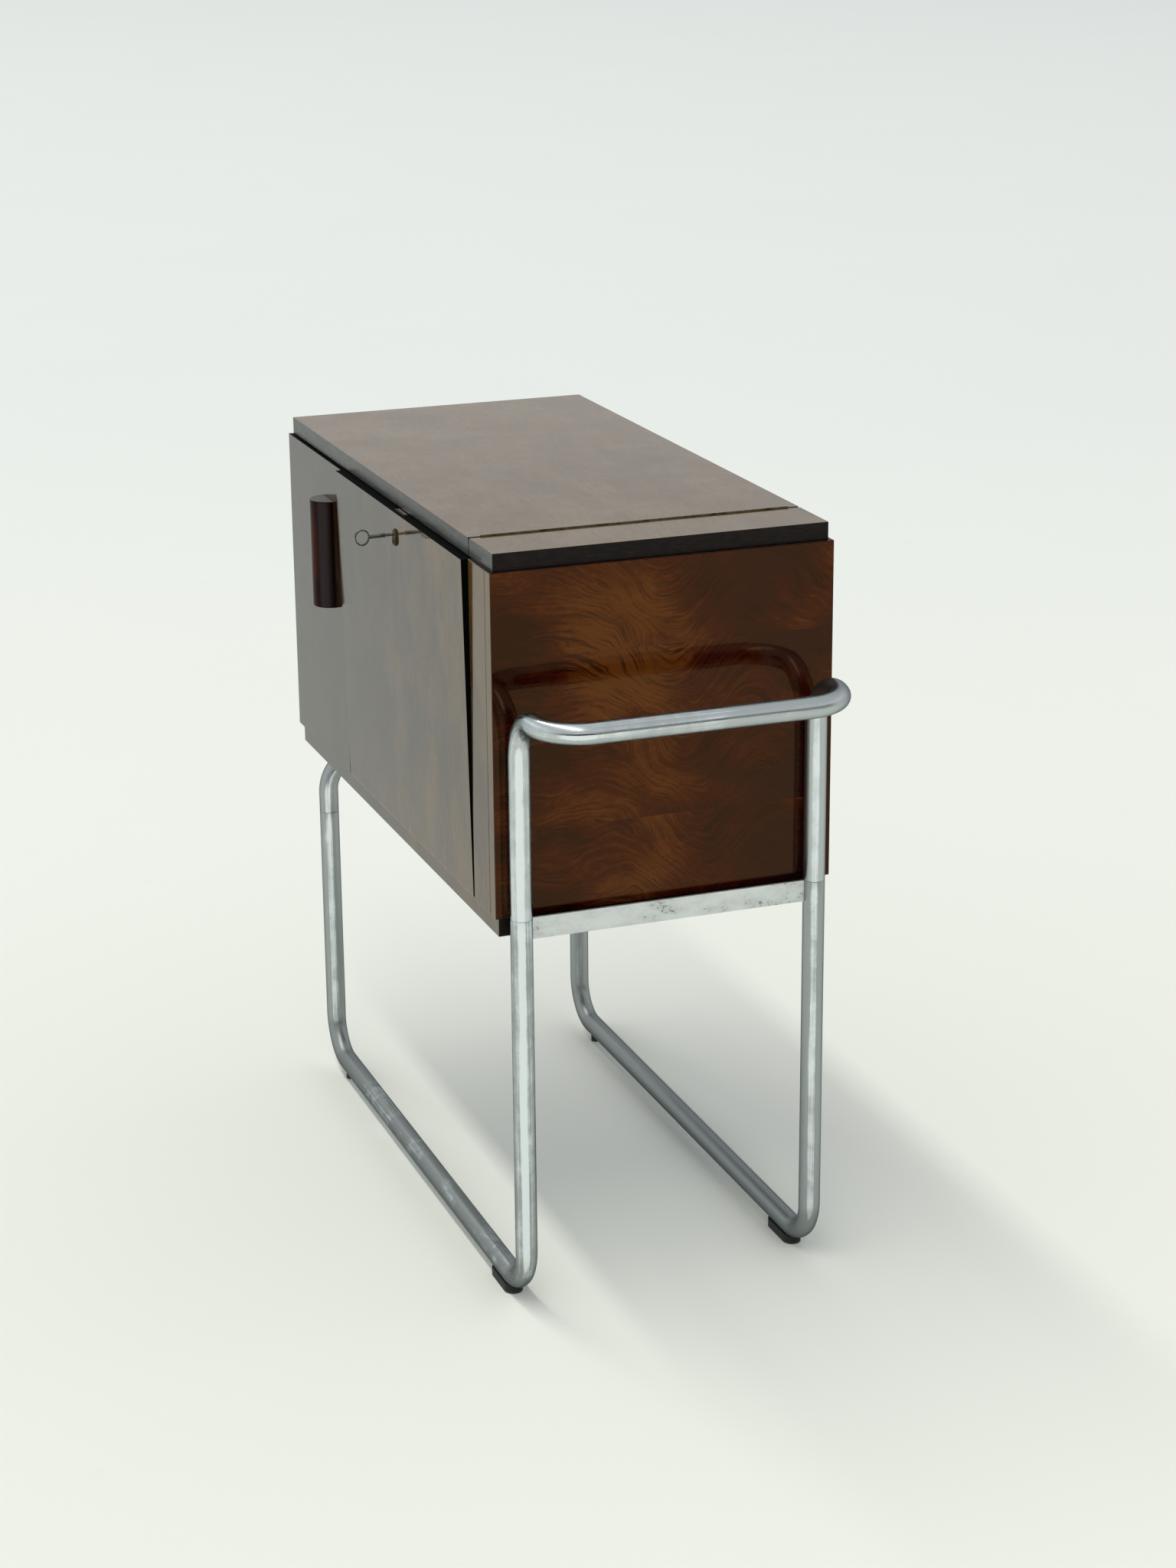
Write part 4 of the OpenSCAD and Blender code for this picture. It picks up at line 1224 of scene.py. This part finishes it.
@dataclass
class SideDoor:
    """The side-hung door with its handle, hinges and catch."""

    finishes: Finishes
    ease: float = 0.0009

    def build(self) -> None:
        """Makes the door's pieces."""
        f = self.finishes
        # Painted shade: the door's right and top edges, which face gaps, are near black
        settle(eased_copy("side_door", "side_door_board", self.ease,
                          (f.front, f.lipping, f.lining_back, f.gap_shade), (1, 3, 0, 2, 1, 3)),
               "door", "walnut", "side_door")
        Handle(f).build()
        paint(f.brass, "door_hinges_moving", "door_hinges_fixed", "door_catch")
        paint(f.nickel, "door_hinge_pins", "handle_screws")


@dataclass
class Flap:
    """The drop-front flap with its hinge, stays and lock."""

    finishes: Finishes
    ease: float = 0.0009
    plate_ease: float = 0.0003

    def build(self) -> None:
        """Makes the flap's pieces."""
        f = self.finishes
        # Painted shade: the flap's two side edges and its top edge, which face gaps, are near black
        settle(eased_copy("flap", "flap_board", self.ease,
                          (f.front, f.lipping, f.lining_back, f.gap_shade), (3, 3, 0, 2, 1, 3)),
               "flap", "walnut", "flap")
        settle(eased_copy("escutcheon", "escutcheon_plate", self.plate_ease, (f.plate,)),
               "flap", "brass", "escutcheon")
        paint(f.brass, "flap_hinge_fixed", "flap_hinge_moving")
        # Painted shade: the lock case takes the dark brass for the dark slot under the lid that it
        # sits in
        paint(f.plate, "lock_case")
        paint(f.nickel, "flap_hinge_pin", "flap_stay_studs", "flap_stay_brackets", "flap_stay_left",
              "flap_stay_right", "lock_bolt")
        paint(f.key, "key")


@dataclass
class TubeFrame:
    """The bent tubes, the steel angle between the uprights, and what they stand on.

    Places are in mm from the carcass's corner, and the two widths of easing are in metres.
    """

    finishes: Finishes
    upright_x: float = 813.5
    leg_x: float = 40.0
    loop_y: tuple[float, float] = (25.0, 375.0)
    runner_z: float = 21.0
    bend_r: float = 50.0
    seam_z: float = 473.0
    leg_seam_z: float = 358.0
    cross_z: float = 435.4
    rail_z: float = 708.0
    smooth: float = 40.0
    angle_ease: float = 0.0006
    pad_ease: float = 0.0012

    def runner(self, y: float, node: str) -> None:
        """Makes one loop: down the upright, along the floor and up the left leg.

        Args:
            y: the loop's distance behind the carcass's front.
            node: the CAD node that it stands for.
        """
        b = self.bend_r
        run = TubeRun(np.array([self.upright_x, y, self.seam_z]), (0, 0, -1), (1, 0, 0))
        run.straight(self.seam_z - self.runner_z - b)
        run.bend((0, 1, 0), 90, b).straight(self.upright_x - self.leg_x - 2 * b)
        run.bend((0, 1, 0), 90, b).straight(self.leg_seam_z - self.runner_z - b)
        piece = run.shell().mesh(node + "_tube", [self.finishes.tube], self.smooth)
        settle(piece, "carcass", "chrome_tube", node)

    def cross(self) -> None:
        """Makes the tube that joins the two left legs under the base."""
        b, (front, rear) = self.bend_r, self.loop_y
        run = TubeRun(np.array([self.leg_x, front, self.leg_seam_z]), (0, 0, 1), (1, 0, 0))
        run.straight(self.cross_z - b - self.leg_seam_z)
        run.bend((-1, 0, 0), 90, b).straight(rear - front - 2 * b)
        run.bend((-1, 0, 0), 90, b).straight(self.cross_z - b - self.leg_seam_z)
        piece = run.shell().mesh("left_cross_tube_bent", [self.finishes.tube], self.smooth)
        settle(piece, "carcass", "chrome_tube", "left_cross_tube")

    def rail(self) -> None:
        """Makes the rail: up the front upright, out, back and down the rear upright."""
        b, (front, rear) = self.bend_r, self.loop_y
        run = TubeRun(np.array([self.upright_x, front, self.seam_z]), (0, 0, 1), (1, 0, 0))
        run.straight(self.rail_z - b - self.seam_z)
        run.bend((0, 1, 0), 90, b).bend((0, 0, 1), 90, b).straight(rear - front - 2 * b)
        run.bend((0, 0, 1), 90, b).bend((0, -1, 0), 90, b).straight(self.rail_z - b - self.seam_z)
        piece = run.shell().mesh("rail_hoop_bent", [self.finishes.rail], self.smooth)
        settle(piece, "carcass", "chrome_tube", "rail_hoop")

    def build(self) -> None:
        """Makes the frame's pieces."""
        f = self.finishes
        for y, node in zip(self.loop_y, ("front_runner_loop", "rear_runner_loop")):
            self.runner(y, node)
        self.cross()
        self.rail()
        settle(eased_copy("cross_angle", "cross_angle_bar", self.angle_ease, (f.angle,)),
               "carcass", "dull_steel", "cross_angle")
        settle(eased_copy("saddle_pads", "saddle_pads_moulded", self.pad_ease, (f.pad,)),
               "carcass", "pad", "saddle_pads")
        paint(f.screw, "frame_screws", "tube_spigots")
        paint(f.pad, "left_glides")


# Studio


@dataclass
class Studio:
    """The floor, the surrounding light, one long soft light and the camera.

    Places are in metres, angles in radians, and the lens and sensor in mm. The air's drops are
    taken off its strength low down, high up and on the room's dark side. The strip's reach, lean
    and width are shares of its height.
    """

    eye: tuple[float, float, float] = (3.41249, -1.19994, 1.67836)
    azimuth: float = 1.2165458
    pitch: float = 0.3142113
    roll: float = -0.0087799
    lens: float = 72.446
    sensor: float = 36.0
    farthest: float = 200.0
    floor_half: float = 60.0
    air: float = 1.02
    air_colour: Colour = (0.97, 1.0, 1.0)
    low_drop: float = 0.20
    sky_drop: float = 0.34
    dark_drop: float = 0.80
    strip_reach: tuple[float, float] = (-1.0, 0.75)
    strip_lean: float = -0.27
    strip_height: float = 30.0
    strip_width: float = 0.07
    strip_power: float = 4900.0
    strip_colour: Colour = (1.0, 0.98, 0.86)

    def floor(self) -> None:
        """Lays a wide flat floor."""
        line = np.linspace(-self.floor_half, self.floor_half, 3)
        x, y = np.meshgrid(line, line, indexing="ij")
        shell = lattice(np.stack([x, y, 0 * x], -1), closed=False, uv=np.zeros((3, 3, 2)))
        ground = shell.mesh("studio_floor", [StudioFloor().material()])

    def light(self, name: str, eye: Sequence[float], look: Sequence[float],
              size: tuple[float, float], power: float, colour: Colour) -> None:
        """Adds one soft light.

        Args:
            name: its name.
            eye: its place.
            look: the point that it faces.
            size: its length and width, in metres.
            power: its power in watts.
            colour: its colour.
        """
        lamp = bpy.data.lights.new(name, "AREA")
        lamp.shape = "RECTANGLE"
        lamp.size, lamp.size_y = size
        lamp.energy = power
        lamp.color = colour
        obj = add_object(name, lamp)
        obj.location = eye
        obj.rotation_euler = (Vector(look) - Vector(eye)).to_track_quat("-Z", "Y").to_euler()

    def lights(self) -> None:
        """Sets the even surrounding light and a long strip high in front."""
        world = bpy.data.worlds.new("studio_air")
        n = Nodes(world)
        near, _, rise = n.split(n.add("ShaderNodeTexCoord", out="Generated"))
        behind = near.ramp(0.25, 0.65) * rise.ramp(0.34, 0.22) * rise.ramp(-0.12, 0.0)
        low, high = rise.ramp(0.36, 0.26), rise.ramp(0.38, 0.62)
        # The dark side of the room shows in reflections alone, not to the camera itself
        seen = n.add("ShaderNodeLightPath", out="Is Camera Ray")
        power = (self.air - low * self.low_drop - high * self.sky_drop
                 - behind * self.dark_drop * (1.0 - seen))
        air = n.add("ShaderNodeBackground", None,
                    {"Color": (*self.air_colour, 1.0), "Strength": power})
        n.add("ShaderNodeOutputWorld", None, {"Surface": air})
        bpy.context.scene.world = world
        (left, right), height = self.strip_reach, self.strip_height
        middle = ((left + right) / 2 * height, self.strip_lean * height)
        self.light("ceiling_strip", (*middle, height), (*middle, 0.0),
                   ((right - left) * height, self.strip_width * height),
                   self.strip_power, self.strip_colour)

    def camera(self) -> None:
        """Stands the camera where the photograph was taken, looking along its line."""
        a, p, r = self.azimuth, self.pitch, self.roll
        look = np.array([-math.sin(a) * math.cos(p), math.cos(a) * math.cos(p), -math.sin(p)])
        right = np.array([math.cos(a), math.sin(a), 0.0])
        up = np.cross(right, look)
        side = math.cos(r) * right + math.sin(r) * up
        top = math.cos(r) * up - math.sin(r) * right
        lens = bpy.data.cameras.new("camera")
        lens.lens = self.lens
        lens.sensor_width = self.sensor
        lens.clip_end = self.farthest
        obj = add_object("camera", lens)
        turn = Matrix(np.stack([side, top, -look], 1).tolist()).to_4x4()
        obj.matrix_world = Matrix.Translation(self.eye) @ turn
        bpy.context.scene.camera = obj

    def build(self) -> None:
        """Makes the studio, and shows its tones as they are."""
        bpy.context.scene.view_settings.view_transform = "Standard"
        self.camera()
        self.floor()
        self.lights()


def main() -> None:
    """Builds the studio and each sub-assembly."""
    logging.basicConfig(level=logging.INFO, format="%(name)s: %(message)s")
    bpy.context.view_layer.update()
    Studio().build()
    finishes = Finishes()
    for sub_assembly in (Carcass, Lid, SideDoor, Flap, TubeFrame):
        LOG.info("building %s", sub_assembly.__name__)
        sub_assembly(finishes).build()


if __name__ == "__main__":
    main()
